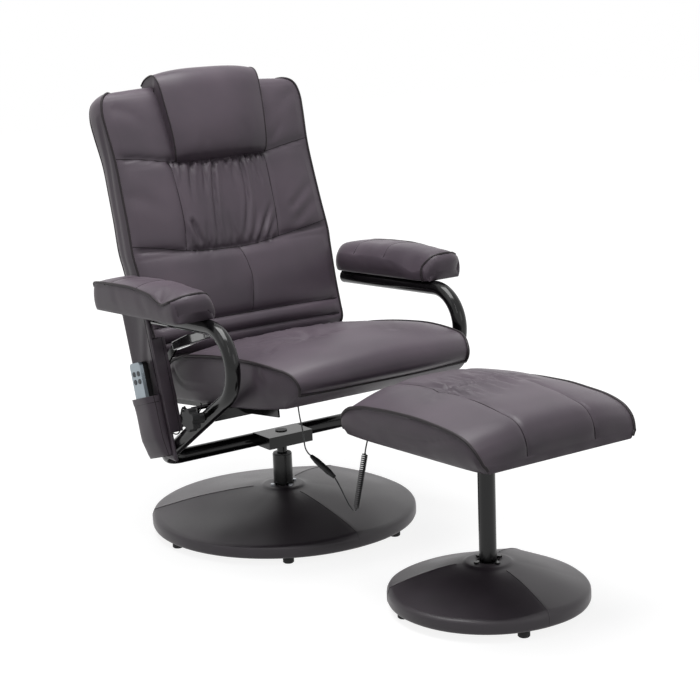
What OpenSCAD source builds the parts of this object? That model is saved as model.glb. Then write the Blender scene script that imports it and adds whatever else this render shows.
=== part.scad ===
// Swivel recliner with a round floor base, looped steel arms and a matching footstool.
// Lengths are millimetres, +Z is up, and the sitter faces -Y with the footstool in front.
// The origin lies on the floor, in the middle between the footstool's front and the back's rear.

/* [Base] */
// Diameter of the chair's round floor base
base_d = 600; // [520:10:640]
// Height of the base's flat top above the floor
base_top = 88; // [78:1:96]
// Diameter of the flat middle of the base
flat_d = 106; // [96:2:120]
// Height of the base's rounded rim
rim_h = 26; // [22:1:30]
// Number of feet under the chair's base
foot_count = 6; // [4:1:8]
// Diameter of a foot
foot_d = 24; // [18:1:28]
// Height of a foot
foot_h = 15; // [12:1:20]

/* [Post] */
// Outer diameter of the post's sleeve
sleeve_d = 44; // [42:1:48]
// Height of the sleeve's top above the base's flat top
sleeve_h = 75; // [65:1:90]
// Diameter of the swivel spindle
spindle_d = 23; // [20:1:23]
// Length of spindle that shows between the sleeve and the hub
spindle_gap = 27; // [20:1:40]

/* [Frame] */
// Outer diameter of the frame's tube
tube_d = 32; // [28:1:34]
// Wall of the frame's tube
tube_wall = 2; // [1.5:0.5:3]
// Rise of the tube's slanting run
rise_angle = 33.5; // [32:0.5:35]
// Length of the slanting run, from the corner to the arm's bend
slant_l = 335; // [325:1:345]
// Radius of the bend in front of each arm
bend_r = 80; // [74:1:86]
// Fall of the arm's top run towards the rear
arm_fall = 3; // [1:0.5:5]
// Length of the arm's top run
arm_run = 345; // [335:1:355]

/* [Seat] */
// Tilt of the seat
seat_tilt = 6.8; // [5:0.2:8]
// Half of the seat's width at its widest, which the arms and the back follow
seat_half_w = 250; // [240:1:260]
// Height of the seat cushion's crown above its underside
seat_crown = 126; // [115:1:132]
// Thickness of the seat's board
seat_board_t = 12; // [9:1:15]

/* [Back] */
// Lean of the back at rest
back_lean = 17.7; // [15:0.5:20]
// Height of the back above its hinge
back_l = 664; // [600:4:700]
// Height of the back cushion's crown over its piping
back_crown = 28; // [20:1:34]
// Depth of the back's side
back_side = 66; // [60:1:72]

/* [Footstool] */
// Diameter of the footstool's floor base
stool_base_d = 403; // [360:1:440]
// Half of the footstool cushion's width
stool_half_w = 194; // [180:1:205]
// Length of the footstool's cushion
stool_l = 444; // [430:2:460]
// Height of the footstool cushion's underside above the floor
stool_h = 352; // [340:1:365]
// Distance from the chair's post to the footstool's post
stool_reach = 707; // [705:1:730]

/* [Hidden] */

// Overrun of every cut, finenesses, and the gaps between pieces
cut = 1;
fine = 96;
mid_fine = 48;
gap = 0.3;
running = 0.05;
slip = 0.2;

// Where the chair's post stands, and the shared levels of its frame
post_y = 294;
cover_t = 2;
flange_t = 4;
sleeve_top = base_top + sleeve_h;
hub_z = sleeve_top + spindle_gap;
hub_h = 27;
cross_y = 28;
cross_rise = 10;
cross_z = hub_z + cross_rise;
tube_r = tube_d / 2;
corner_r = 48;

// Across the chair: each arm's tube stands beside the seat, and the back is a little wider than the seat
seat_side_gap = 27;
arm_x = seat_half_w + seat_side_gap + tube_r;
back_over = 14;
back_half_w = seat_half_w + back_over;

// The arm's bend: its centre and its ends, as [y, z] in the arm's plane
bend_in = [cross_y - slant_l * cos(rise_angle), cross_z + slant_l * sin(rise_angle)];
bend_c = bend_in + bend_r * [sin(rise_angle), cos(rise_angle)];
bend_out = bend_c + bend_r * [sin(arm_fall), cos(arm_fall)];
bend_sweep = 180 + arm_fall - rise_angle;

// The crossbar under the seat, which the clamp knob holds, lies on the slanting run
bar_y = -184;
bar_w = 22;
bar_z = cross_z + (cross_y - bar_y) * tan(rise_angle);
seat_lift = 2;
seat_z = bar_z + bar_w / 2 + seat_lift;

// The back's hinge, measured along and above the seat's underside
hinge_run = 295;
hinge_up = 26;
hinge_at = [bar_y + hinge_run * cos(seat_tilt) + hinge_up * sin(seat_tilt),
    seat_z - hinge_run * sin(seat_tilt) + hinge_up * cos(seat_tilt)];
pin_d = 12;
ear_r = 18;

// Unit vector, and the frames carried along a path so that a swept tube doesn't twist
function unit(v) = v / norm(v);
function tangent(p, i) = unit(p[min(i + 1, len(p) - 1)] - p[max(i - 1, 0)]);
function across(n, t) = unit(n - (n * t) * t);
function side_of(t) = across(abs(t.z) < 0.9 ? [0, 0, 1] : [1, 0, 0], t);
function carried(p) = [for (i = 0, n = side_of(tangent(p, 0)); i < len(p);
    i = i + 1, n = i < len(p) ? across(n, tangent(p, i)) : n) n];

// Smooth curve through points chosen by hand, with steps points for each stretch
function between(a, b, c, d, t) = 0.5 * ((2 * b) + (c - a) * t + (2 * a - 5 * b + 4 * c - d) * t * t
    + (3 * b - a - 3 * c + d) * t * t * t);
function smooth_path(p, steps) = let (n = len(p) - 1) [for (k = [0 : n * steps])
    let (i = min(floor(k / steps), n - 1), t = k / steps - i)
    between(p[max(i - 1, 0)], p[i], p[i + 1], p[min(i + 2, n)], t)];

// One closed tube round a path
module swept(path, d, sides) {
    frames = carried(path);
    rings = len(path);
    points = [for (i = [0 : rings - 1], k = [0 : sides - 1])
        let (t = tangent(path, i), n = frames[i], a = 360 * k / sides)
        path[i] + d / 2 * (cos(a) * n + sin(a) * cross(t, n))];
    walls = [for (i = [0 : rings - 2], k = [0 : sides - 1])
        let (a = i * sides + k, b = i * sides + (k + 1) % sides)
        each [[a, b + sides, b], [a, a + sides, b + sides]]];
    first = [for (k = [0 : sides - 1]) k];
    last = [for (k = [sides - 1 : -1 : 0]) (rings - 1) * sides + k];
    polyhedron(points = points, faces = concat(walls, [first, last]), convexity = 10);
}

// Centre line of a curly cord wound round an axis from a to b, straight for one diameter at each end
curl_rings = 8;
curl_lead_share = 0.75;
function curly(a, b, r, d, turns) = let (t = unit(b - a), n = side_of(t), m = cross(t, n),
    l = norm(b - a) - 2 * d, steps = turns * curl_rings)
    concat([a], [for (i = [0 : steps])
        let (s = i / curl_rings, w = min(1, s / curl_lead_share, (turns - s) / curl_lead_share), q = 360 * s)
        a + t * (d + l * i / steps) + r * w * (cos(q) * n + sin(q) * m)], [b]);
function least_gap(p, d) = min([for (i = [0 : len(p) - 1], j = [i + curl_rings - 2 : 1 : len(p) - 1])
    if (j < len(p)) norm(p[i] - p[j])]) - d;

// A cushion's skin. Each row is [edge y, edge z, middle y, middle z, half width], front row first.
// The rings are functions that carry an edge point, with its share across and its row, down the side.
function column(nu, i) = sin(180 * i / nu - 90);
function swell(u, power) = 1 - pow(abs(u), power);
function skin_point(row, u, power, fold) = let (w = swell(u, power), x = row[4] * u,
    y = row[0] + (row[2] - row[0]) * w)
    [x, y, row[1] + (row[3] - row[1]) * w + fold(x, y) * min(1, 2 * w)];
module skin(rows, nu, power, fold, rings) {
    nv = len(rows) - 1;
    loop = concat([for (i = [0 : nu - 1]) [i, 0]], [for (j = [0 : nv - 1]) [nu, j]],
        [for (i = [nu : -1 : 1]) [i, nv]], [for (j = [nv : -1 : 1]) [0, j]]);
    nb = len(loop);
    top = [for (j = [0 : nv], i = [0 : nu]) skin_point(rows[j], column(nu, i), power, fold)];
    sides = [for (ring = rings, c = loop)
        ring(skin_point(rows[c[1]], column(nu, c[0]), power, fold), column(nu, c[0]), c[1])];
    base = len(top);
    function at_loop(k, m) = k == 0 ? loop[m % nb][1] * (nu + 1) + loop[m % nb][0]
        : base + (k - 1) * nb + m % nb;
    last = len(rings);
    over = [for (j = [0 : nv - 1], i = [0 : nu - 1]) let (a = j * (nu + 1) + i, d = a + nu + 1)
        each [[a, d, d + 1], [a, d + 1, a + 1]]];
    down = [for (k = [0 : last - 1], m = [0 : nb - 1])
        each [[at_loop(k, m), at_loop(k, m + 1), at_loop(k + 1, m + 1)],
            [at_loop(k, m), at_loop(k + 1, m + 1), at_loop(k + 1, m)]]];
    right = [for (j = [0 : nv]) nu + j];
    left = [for (j = [0 : nv]) (2 * nu + 2 * nv - j) % nb];
    function under_face(a, b, c) = [at_loop(last, a), at_loop(last, b), at_loop(last, c)];
    under = concat([for (m = [0 : nu - 1]) under_face(left[1], m, m + 1)],
        [under_face(left[1], nu, right[1])],
        [for (j = [1 : nv - 2]) each [under_face(left[j], right[j], right[j + 1]),
            under_face(left[j], right[j + 1], left[j + 1])]],
        [for (m = [nu + nv : 2 * nu + nv - 1]) under_face(right[nv - 1], m, m + 1)],
        [under_face(left[nv - 1], right[nv - 1], 2 * nu + nv)]);
    polyhedron(points = concat(top, sides), faces = concat(over, down, under), convexity = 10);
}
no_fold = function(x, y) 0;
seat_columns = 12;
arm_columns = 8;
back_columns = 10;
stool_columns = 14;
round_power = 2.4;
flat_power = 2.6;

// Places: the chair's post, the seat's underside, the back's hinge plane and each arm's top run
module at_post() { translate([0, post_y, 0]) children(); }
module at_seat() { at_post() translate([0, bar_y, seat_z]) rotate([-seat_tilt, 0, 0]) children(); }
module at_hinge() {
    at_post() translate([0, hinge_at[0], hinge_at[1]]) rotate([90 - back_lean, 0, 0]) children();
}
module at_arm(side) {
    at_post() mirror([side < 0 ? 1 : 0, 0, 0]) translate([arm_x, bend_out[0], bend_out[1]])
        rotate([-arm_fall, 0, 0]) children();
}
module both_sides() { for (side = [-1, 1]) mirror([side < 0 ? 1 : 0, 0, 0]) children(); }
module rod_x(x0, x1, d, fn = mid_fine) {
    translate([x0, 0, 0]) rotate([0, 90, 0]) cylinder(d = d, h = x1 - x0, $fn = fn);
}

// The chair's base: a turned core under a stitched leather cover, on six rubber feet
rim_round = 10;
stud_d = 6;
stud_ring = 58;
stud_count = 4;
function cone_profile(d, inset) = [[0, foot_h], [d / 2 - inset - rim_round / 2, foot_h],
    [d / 2 - inset, foot_h + rim_round / 2], [d / 2 - inset, foot_h + rim_h - rim_round - inset],
    [d / 2 - inset - rim_round / 2, foot_h + rim_h - inset], [flat_d / 2, base_top - inset],
    [0, base_top - inset]];
module stud_holes(low, high) {
    for (k = [1 : stud_count]) rotate([0, 0, 360 * k / stud_count])
        translate([stud_ring / 2, 0, low - cut])
            cylinder(d = stud_d + 2 * slip, h = high - low + 2 * cut, $fn = mid_fine);
}
module cone_core(d) {
    difference() {
        rotate_extrude($fn = fine) polygon(cone_profile(d, cover_t + gap));
        stud_holes(foot_h, base_top);
    }
}
module cone_cover(d) {
    difference() {
        rotate_extrude($fn = fine) difference() {
            polygon(cone_profile(d, 0));
            polygon(concat([[-cut, foot_h - cut], [d / 2 - cover_t - rim_round, foot_h - cut]],
                [for (k = [1 : 5]) cone_profile(d, cover_t)[k]], [[-cut, base_top - cover_t]]));
        }
        stud_holes(base_top - flange_t, base_top);
    }
}
module post_hole() {
    translate([0, 0, foot_h - cut]) cylinder(d = sleeve_d, h = base_top, $fn = mid_fine);
}
module base_core() {
    color("burlywood") at_post() difference() {
        cone_core(base_d);
        post_hole();
    }
}
module base_cover() {
    color("dimgray") at_post() difference() {
        cone_cover(base_d);
        post_hole();
    }
}
foot_inset = 23;
foot_edge = 2;
module feet(count, ring_r, turn) {
    for (k = [1 : count]) rotate([0, 0, turn + 360 * k / count]) translate([ring_r, 0, 0]) {
        cylinder(d1 = foot_d - 2 * foot_edge, d2 = foot_d, h = foot_edge, $fn = mid_fine);
        translate([0, 0, foot_edge]) cylinder(d = foot_d, h = foot_h - foot_edge, $fn = mid_fine);
    }
}
foot_turn = -2;
module base_feet() {
    color("black") at_post() feet(foot_count, base_d / 2 - foot_inset, foot_turn);
}

// The post: a flanged sleeve bolted to the base, with a plastic bush that carries the spindle
flange_d = 84;
bush_lip = 3;
bush_wall = 5;
bush_bore = spindle_d + 2 * running;
bush_d = bush_bore + 2 * bush_wall;
bush_rim_d = sleeve_d - bush_lip;
module post_sleeve() {
    color("black") at_post() difference() {
        union() {
            translate([0, 0, base_top]) cylinder(d = flange_d, h = flange_t, $fn = fine);
            translate([0, 0, base_top]) cylinder(d = sleeve_d, h = sleeve_h, $fn = fine);
        }
        translate([0, 0, base_top + flange_t]) cylinder(d = bush_d, h = sleeve_h, $fn = fine);
        stud_holes(base_top, base_top + flange_t);
    }
}
nut_d = 11;
nut_h = 5;
module base_nuts() {
    color("silver") at_post() for (k = [1 : stud_count]) rotate([0, 0, 360 * k / stud_count])
        translate([stud_ring / 2, 0, 0]) {
            translate([0, 0, foot_h])
                cylinder(d = stud_d, h = base_top + flange_t + nut_h - foot_h, $fn = mid_fine);
            translate([0, 0, base_top + flange_t]) cylinder(d = nut_d, h = nut_h, $fn = 6);
        }
}
module swivel_bush() {
    low = base_top + flange_t;
    color("whitesmoke") at_post() difference() {
        union() {
            translate([0, 0, low]) cylinder(d = bush_d, h = sleeve_top - low, $fn = fine);
            translate([0, 0, sleeve_top]) cylinder(d = bush_rim_d, h = bush_lip, $fn = fine);
        }
        translate([0, 0, low + bush_lip]) cylinder(d = bush_bore, h = sleeve_h + bush_lip, $fn = fine);
    }
}
module swivel_spindle() {
    low = base_top + flange_t + bush_lip + gap;
    color("black") at_post() translate([0, 0, low])
        cylinder(d = spindle_d, h = hub_z + hub_h - low, $fn = fine);
}

// The hub: a folded steel box welded to the spindle and to the cross tube
hub_half_w = 58;
hub_front = 40;
hub_wall = 4;
module hub_box() {
    color("black") difference() {
        at_post() difference() {
            translate([-hub_half_w, -hub_front, hub_z]) cube([2 * hub_half_w, hub_front + cross_y, hub_h]);
            difference() {
                translate([-hub_half_w + hub_wall, -hub_front + hub_wall, hub_z - cut])
                    cube([2 * (hub_half_w - hub_wall), hub_front + cross_y, hub_h - hub_wall + cut]);
                translate([0, 0, hub_z - 2 * cut]) cylinder(d = sleeve_d, h = hub_h + 2 * cut, $fn = fine);
            }
            translate([0, 0, hub_z - cut]) cylinder(d = spindle_d, h = hub_h + 2 * cut, $fn = fine);
        }
        at_post() translate([0, cross_y, cross_z]) rod_x(-hub_half_w - cut, hub_half_w + cut, tube_d, fine);
    }
}

// The side tube: from the hub out to the corner, up the slant, round the arm's bend and back along its top.
// Its straight runs lap into the bends, a hair inside their skin.
lap = 2;
lap_step = 0.15;
module bent(r, radius, sweep) {
    rotate_extrude(angle = sweep, $fn = fine) translate([radius, 0]) circle(r = r, $fn = fine);
}
module tube_path(r, step, over) {
    run_x = arm_x - corner_r;
    straight_r = r + step;
    translate([-over * cut, cross_y, cross_z]) rod_x(0, run_x + over * cut + lap, 2 * straight_r, fine);
    translate([run_x, cross_y, cross_z]) rotate([-rise_angle, 0, 0]) {
        translate([0, -corner_r, 0]) bent(r, corner_r, 90);
        translate([corner_r, lap - corner_r, 0]) rotate([90, 0, 0])
            cylinder(r = straight_r, h = slant_l - corner_r + 2 * lap, $fn = fine);
    }
    translate([arm_x, bend_c[0], bend_c[1]]) rotate([90, 0, 90]) rotate([0, 0, 90 - arm_fall])
        bent(r, bend_r, bend_sweep);
    translate([arm_x, bend_out[0], bend_out[1]]) rotate([-arm_fall - 90, 0, 0]) translate([0, 0, -lap])
        cylinder(r = straight_r, h = arm_run + over * cut + lap, $fn = fine);
}
stud_hole_d = 10;
module frame_tube(side) {
    color("black") at_post() mirror([side < 0 ? 1 : 0, 0, 0]) difference() {
        tube_path(tube_r, -lap_step, 0);
        tube_path(tube_r - tube_wall, lap_step, 1);
        translate([0, bar_y, bar_z]) rod_x(arm_x - tube_d, arm_x + tube_d, stud_hole_d + 2 * running);
    }
}
module frame_tube_right() { frame_tube(-1); }
module frame_tube_left() { frame_tube(1); }

// Plastic caps: a plug in each arm tube's rear end, and a disc over the spindle's top
plug_l = 14;
plug_head = 2;
module frame_caps() {
    color("dimgray") at_post() translate([0, 0, hub_z + hub_h])
        cylinder(d = spindle_d + 2 * plug_head, h = plug_head, $fn = mid_fine);
    color("dimgray") for (side = [-1, 1]) at_arm(side) translate([0, arm_run - plug_l, 0]) rotate([-90, 0, 0])
    {
        cylinder(r = tube_r - tube_wall, h = plug_l, $fn = fine);
        translate([0, 0, plug_l]) cylinder(r = tube_r, h = plug_head, $fn = fine);
    }
}

// The crossbar: square tube between the slanting runs, with a threaded block in each end
insert_l = 24;
bar_wall = 2;
module solid_tubes() { at_post() both_sides() tube_path(tube_r, -lap_step, 0); }
module bar_block(w, half_l) {
    at_post() translate([-half_l, bar_y - w / 2, bar_z - w / 2]) cube([2 * half_l, w, w]);
}
module front_crossbar() {
    color("black") difference() {
        bar_block(bar_w, arm_x - tube_r / 2);
        bar_block(bar_w - 2 * bar_wall, arm_x);
        solid_tubes();
    }
}
module crossbar_inserts() {
    inner = bar_w - 2 * bar_wall;
    end = arm_x - tube_r - gap;
    color("gray") at_post() both_sides() difference() {
        translate([end - insert_l, bar_y - inner / 2, bar_z - inner / 2]) cube([insert_l, inner, inner]);
        translate([0, bar_y, bar_z]) rod_x(end - insert_l - cut, end + cut, stud_hole_d + 2 * running);
    }
}
bolt_head_d = 18;
bolt_head_h = 7;
module crossbar_bolt() {
    color("silver") at_post() translate([0, bar_y, bar_z]) {
        rod_x(arm_x - tube_r - insert_l, arm_x + tube_r, stud_hole_d);
        rod_x(arm_x + tube_r, arm_x + tube_r + bolt_head_h, bolt_head_d, 6);
    }
}

// The seat's rails: folded angles under the board, whose rear ears carry the back's hinge pins
rail_inset = 38;
rail_x = seat_half_w - rail_inset;
rail_t = 4;
rail_flange = 24;
rail_low = 20;
rail_front = -138;
rail_rear = 228;
board_z = 6;
flange_rail_t = 3;
module rail_plate(front, rear, low, high) {
    translate([rail_x - rail_t, front, low]) cube([rail_t, rear - front, high - low]);
}
module seat_rails() {
    color("black") difference() {
        both_sides() at_seat() difference() {
            union() {
                rail_plate(rail_front, rail_rear, -rail_low, board_z);
                rail_plate(rail_front, hinge_run - ear_r, -rail_low, -gap);
                translate([rail_x - rail_flange, rail_front, board_z - flange_rail_t])
                    cube([rail_flange, rail_rear - rail_front, flange_rail_t]);
                translate([rail_x - rail_t, hinge_run, hinge_up]) rod_x(0, rail_t, 2 * ear_r, fine);
                translate([rail_x, 0, 0]) rotate([90, 0, -90]) linear_extrude(rail_t)
                    polygon([[-hinge_run + ear_r, -rail_low], [-hinge_run + ear_r + rail_low, -rail_low],
                        [-hinge_run + ear_r + rail_low, -gap],
                        [-hinge_run + ear_r / 2, hinge_up + ear_r * 0.8],
                        [-hinge_run - ear_r * 0.8, hinge_up - ear_r / 2]]);
            }
            translate([rail_x - rail_t - cut, hinge_run, hinge_up]) rod_x(0, rail_t + 2 * cut, pin_d);
        }
        bar_block(bar_w, arm_x);
    }
}
strap_at = 54;
strap_w = 26;
strap_t = 4.5;
strap_short = 3;
strap_out = arm_x - strap_short;
module seat_straps() {
    color("black") difference() {
        both_sides() at_seat() {
            translate([rail_x, strap_at, -gap - strap_t]) cube([strap_out - rail_x, strap_w, strap_t]);
            translate([strap_out - strap_t, strap_at, -gap - strap_t - tube_d])
                cube([strap_t, strap_w, tube_d + strap_t]);
        }
        solid_tubes();
    }
}

// The hinge: a pin on each side, and on the lever's side the discs that it presses together
pin_head = 4;
bracket_t = 4;
lever_gap = 8.5;
lever_x = seat_half_w + lever_gap;
lever_t = 5;
disc_d = 32;
pin_end = lever_x + lever_t + gap;
ear_x = rail_x + gap;
disc_x = ear_x + bracket_t + gap;
module hinge_pins() {
    color("silver") both_sides() at_hinge() {
        rod_x(rail_x - rail_t - pin_head, rail_x - rail_t, pin_d + 2 * pin_head);
        rod_x(rail_x - rail_t, pin_end, pin_d);
        rod_x(pin_end, pin_end + pin_head / 2, pin_d + pin_head);
    }
}
disc_count = 6;
disc_pitch = 7;
module friction_discs() {
    color("gray") both_sides() at_hinge() difference() {
        union() {
            rod_x(disc_x, lever_x - gap, pin_d + 2 * pin_head);
            for (k = [0 : disc_count - 1])
                rod_x(disc_x + k * disc_pitch, disc_x + k * disc_pitch + rail_t, disc_d);
        }
        rod_x(disc_x - cut, lever_x, pin_d);
    }
}

// The seat: a plywood board let into the underside of a crowned cushion
seat_front = 258;
seat_lip = 12;
seat_low_front = 172;
seat_low_rear = 247;
// Each row of shares: the edge's y and z, the middle's y and z, the half width, and the underside's y
seat_row_shares = [
    [-0.872, 0.246, -0.900, 0.238, 0.848, 0.000], [-0.899, 0.333, -1.000, 0.325, 0.856, 0.010],
    [-0.899, 0.444, -1.014, 0.460, 0.868, 0.022], [-0.860, 0.556, -0.992, 0.620, 0.888, 0.040],
    [-0.806, 0.627, -0.930, 0.762, 0.912, 0.064], [-0.717, 0.683, -0.795, 0.889, 0.944, 0.102],
    [-0.581, 0.738, -0.620, 0.960, 0.968, 0.162], [-0.388, 0.786, -0.388, 1.000, 0.988, 0.256],
    [-0.155, 0.817, -0.155, 1.000, 1.000, 0.364], [0.116, 0.825, 0.116, 0.984, 1.000, 0.506],
    [0.388, 0.810, 0.388, 0.952, 0.996, 0.660], [0.620, 0.778, 0.620, 0.905, 0.984, 0.792],
    [0.795, 0.714, 0.814, 0.817, 0.972, 0.900], [0.911, 0.635, 0.930, 0.714, 0.964, 0.960],
    [0.969, 0.556, 0.992, 0.571, 0.960, 1.000]];
function scaled_rows(shares, along, high, wide) = [for (r = shares)
    [r[0] * along, r[1] * high, r[2] * along, r[3] * high, r[4] * wide]];
module seat_cushion() {
    rows = scaled_rows(seat_row_shares, seat_front, seat_crown, seat_half_w);
    run = seat_low_front + seat_low_rear;
    low = function(p, j, z, lip) [p.x * (1 - lip / seat_half_w),
        lip - seat_low_front + seat_row_shares[j][5] * (run - 2 * lip), z];
    color("dimgray") at_seat() skin(rows, seat_columns, round_power, seat_fold, [
        function(p, u, j) low(p, j, 0, 0) * 0.5 + p * 0.5,
        function(p, u, j) low(p, j, 0, 0),
        function(p, u, j) low(p, j, 0, seat_lip),
        function(p, u, j) low(p, j, board_z + seat_board_t, seat_lip)]);
}
seat_tuft = 7;
tuft_y = 150;
tuft_r = 26;
function tuft(x, y, cx, cy) = exp(-(pow(x - cx, 2) + pow(y - cy, 2)) / (2 * tuft_r * tuft_r));
seat_fold = function(x, y) -seat_tuft * (tuft(x, y, 0, tuft_y) + tuft(x, y, seat_half_w / 2, tuft_y)
    + tuft(x, y, -seat_half_w / 2, tuft_y));
board_edge = 2;
board_shares = [0.86, 0.97, 0.95];
module seat_board() {
    w = seat_half_w - seat_lip - board_edge;
    front = seat_low_front - seat_lip - board_edge;
    rear = seat_low_rear - seat_lip - board_edge;
    color("burlywood") at_seat() translate([0, 0, board_z]) linear_extrude(seat_board_t)
        polygon([[-w * board_shares[0], -front], [w * board_shares[0], -front], [w * board_shares[1], 0],
            [w * board_shares[2], rear], [-w * board_shares[2], rear], [-w * board_shares[1], 0]]);
}

// Under the board: the massage controller, its power inlet and two vibration motors
box_size = [110, 80, 24];
box_at = [-55, 110];
module control_box() {
    color("black") at_seat() translate([box_at.x, box_at.y, board_z - box_size.z]) cube(box_size);
}
inlet_d = 9;
inlet_l = 8;
module dc_inlet() {
    color("dimgray") at_seat()
        translate([box_at.x + box_size.x / 2, box_at.y + box_size.y, board_z - box_size.z / 2])
        rotate([-90, 0, 0]) difference() {
            cylinder(d = inlet_d, h = inlet_l, $fn = mid_fine);
            translate([0, 0, inlet_l / 2]) cylinder(d = inlet_d / 2, h = inlet_l, $fn = mid_fine);
        }
}
motor_d = 50;
motor_h = 18;
seat_motor_x = 120;
seat_motor_y = 70;
module seat_motors() {
    color("gray") at_seat() for (side = [-1, 1])
        translate([side * seat_motor_x, seat_motor_y, board_z - motor_h])
            cylinder(d = motor_d, h = motor_h, $fn = mid_fine);
}

// The arms: a board screwed to each top run, under a padded cushion
arm_out = 27.5;
arm_half_w = 50.5;
arm_low = tube_r + gap;
arm_board_t = 12;
arm_lip = 10;
arm_crown = 88;
arm_l = 358;
arm_row_shares = [
    [0.028, 0.455, -0.028, 0.511, 0.79, 0.000], [0.022, 0.659, -0.022, 0.750, 0.91, 0.016],
    [0.050, 0.750, 0.022, 0.886, 0.97, 0.045], [0.140, 0.727, 0.126, 0.955, 1.00, 0.130],
    [0.279, 0.818, 0.279, 0.989, 1.00, 0.275], [0.475, 0.898, 0.475, 1.000, 1.00, 0.475],
    [0.670, 0.909, 0.670, 0.989, 1.00, 0.675], [0.838, 0.898, 0.838, 0.966, 1.00, 0.850],
    [0.936, 0.875, 0.944, 0.909, 0.99, 0.945], [0.978, 0.818, 0.992, 0.818, 0.91, 0.985],
    [0.983, 0.682, 1.000, 0.659, 0.83, 1.000]];
module arm_pad(side) {
    rows = scaled_rows(arm_row_shares, arm_l, arm_crown, arm_half_w);
    low = function(p, j, z, lip) [p.x * (1 - lip / arm_half_w),
        lip + arm_row_shares[j][5] * (arm_l - 2 * lip), z];
    color("dimgray") at_arm(side) translate([arm_out, 0, 0]) skin(rows, arm_columns, round_power, no_fold, [
        function(p, u, j) low(p, j, arm_low, 0) * 0.5 + p * 0.5,
        function(p, u, j) low(p, j, arm_low, 0),
        function(p, u, j) low(p, j, arm_low, arm_lip),
        function(p, u, j) low(p, j, arm_low + arm_board_t, arm_lip)]);
}
module arm_pad_right() { arm_pad(-1); }
module arm_pad_left() { arm_pad(1); }
arm_board_share = 0.78;
module arm_boards() {
    w = (arm_half_w - arm_lip) * arm_board_share;
    color("burlywood") for (side = [-1, 1]) at_arm(side) difference() {
        translate([arm_out - w, arm_lip + board_edge, arm_low])
            cube([2 * w, arm_l - 2 * arm_lip - 2 * board_edge, arm_board_t]);
        arm_screw_places() cylinder(d = screw_d, h = arm_board_t * 3, $fn = mid_fine);
    }
}
screw_d = 5;
screw_run = 70;
module arm_screw_places() {
    for (y = [screw_run, arm_run - screw_run]) translate([0, y, tube_r - tube_wall]) children();
}
module arm_screws() {
    color("silver") for (side = [-1, 1]) at_arm(side) arm_screw_places() {
        translate([0, 0, tube_wall + gap]) cylinder(d = screw_d, h = arm_board_t * 0.75, $fn = mid_fine);
    }
}

// The pocket on the sitter's right: a stiff leather panel on the arm's tube, with a pouch for the handset
panel_t = 7.7;
panel_x = arm_x + tube_r + gap;
panel_front = 222;
panel_rear = 338;
panel_low_front = -101;
panel_low_rear = 9;
panel_low = 22;
hem_w = 25;
hem_t = 2;
function arm_point(y, z) = bend_out
    + [y * cos(arm_fall) + z * sin(arm_fall), z * cos(arm_fall) - y * sin(arm_fall)];
panel_top = arm_point(panel_front, tube_r - gap);
panel_end = arm_point(panel_rear, tube_r - gap);
panel_foot = [cross_y + panel_low_front, cross_z + panel_low];
panel_heel = [cross_y + panel_low_rear, cross_z + panel_low];
panel_lean = atan2(panel_top[0] - panel_foot[0], panel_top[1] - panel_foot[1]);
module in_plane(x, t) {
    translate([-x, 0, 0]) rotate([90, 0, -90]) linear_extrude(t) mirror([1, 0]) children();
}
module pocket_panel() {
    hem_low = 60;
    hem_foot = panel_foot[1] + hem_low;
    hem_high = panel_top[1] - tube_d - hem_w;
    f = function(z) panel_foot[0] + (z - panel_foot[1]) * tan(panel_lean);
    color("dimgray") at_post() difference() {
        union() {
            in_plane(panel_x, panel_t) polygon([panel_foot, panel_heel, panel_end, panel_top]);
            in_plane(panel_x - hem_w, hem_w + gap) polygon([[f(hem_foot), hem_foot],
                [f(hem_foot) + hem_t, hem_foot], [f(hem_high) + hem_t, hem_high], [f(hem_high), hem_high]]);
        }
        panel_screw_places() rod_x(-panel_x - panel_t - cut, -panel_x + cut, screw_d + 2 * slip);
    }
}
panel_screw_y = 280;
module panel_screw_places() {
    q = arm_point(panel_screw_y, 0);
    translate([0, q[0], q[1]]) children();
    translate([0, cross_y - 2 * tube_d, cross_z + 2 * tube_d * tan(rise_angle)]) children();
}

// The pouch, in the panel's lean: x outward from the panel, y rearward and z up along the lean
pouch_half_w = 46;
pouch_h = 132;
pouch_wall = 2;
pouch_deep = 28;
pouch_shares = [[0, 0], [0.5, 0], [0.96, 0.3], [1, 1], [0, 1]];
module at_pouch() {
    at_post() translate([-panel_x - panel_t, (panel_foot[0] + panel_heel[0]) / 2, panel_foot[1]])
        rotate([-panel_lean, 0, 0]) mirror([1, 0, 0]) children();
}
module pouch_body(w, grow, low) {
    rise = pouch_h - low + (low > 0 ? cut : 0);
    translate([0, w, 0]) rotate([90, 0, 0]) linear_extrude(2 * w)
        polygon([for (p = pouch_shares) [p[0] * (pouch_deep - grow), low + p[1] * rise]]);
}
module pocket_pouch() {
    color("dimgray") at_pouch() difference() {
        pouch_body(pouch_half_w, 0, 0);
        pouch_body(pouch_half_w - pouch_wall, pouch_wall, pouch_wall);
    }
}

// Glands: for the link cord and the handset's cord under the seat, and a grommet in the pocket's panel
gland_d = 12;
gland_l = 12;
link_gland = [-155, -127];
lead_inset = 24;
lead_gland = [lead_inset - seat_half_w, 150];
small_gland_d = 9;
grommet_y = -23;
grommet_z = 100;
grommet_l = 5;
module gland(at, d) {
    translate([at.x, at.y, board_z - gland_l]) cylinder(d = d, h = gland_l, $fn = mid_fine);
}
module cord_glands() {
    color("black") at_seat() gland(link_gland, gland_d);
    color("black") at_seat() gland(lead_gland, small_gland_d);
    color("black") at_post() translate([0, cross_y + grommet_y, cross_z + grommet_z])
        rod_x(-panel_x, grommet_l - panel_x, small_gland_d);
}

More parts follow.
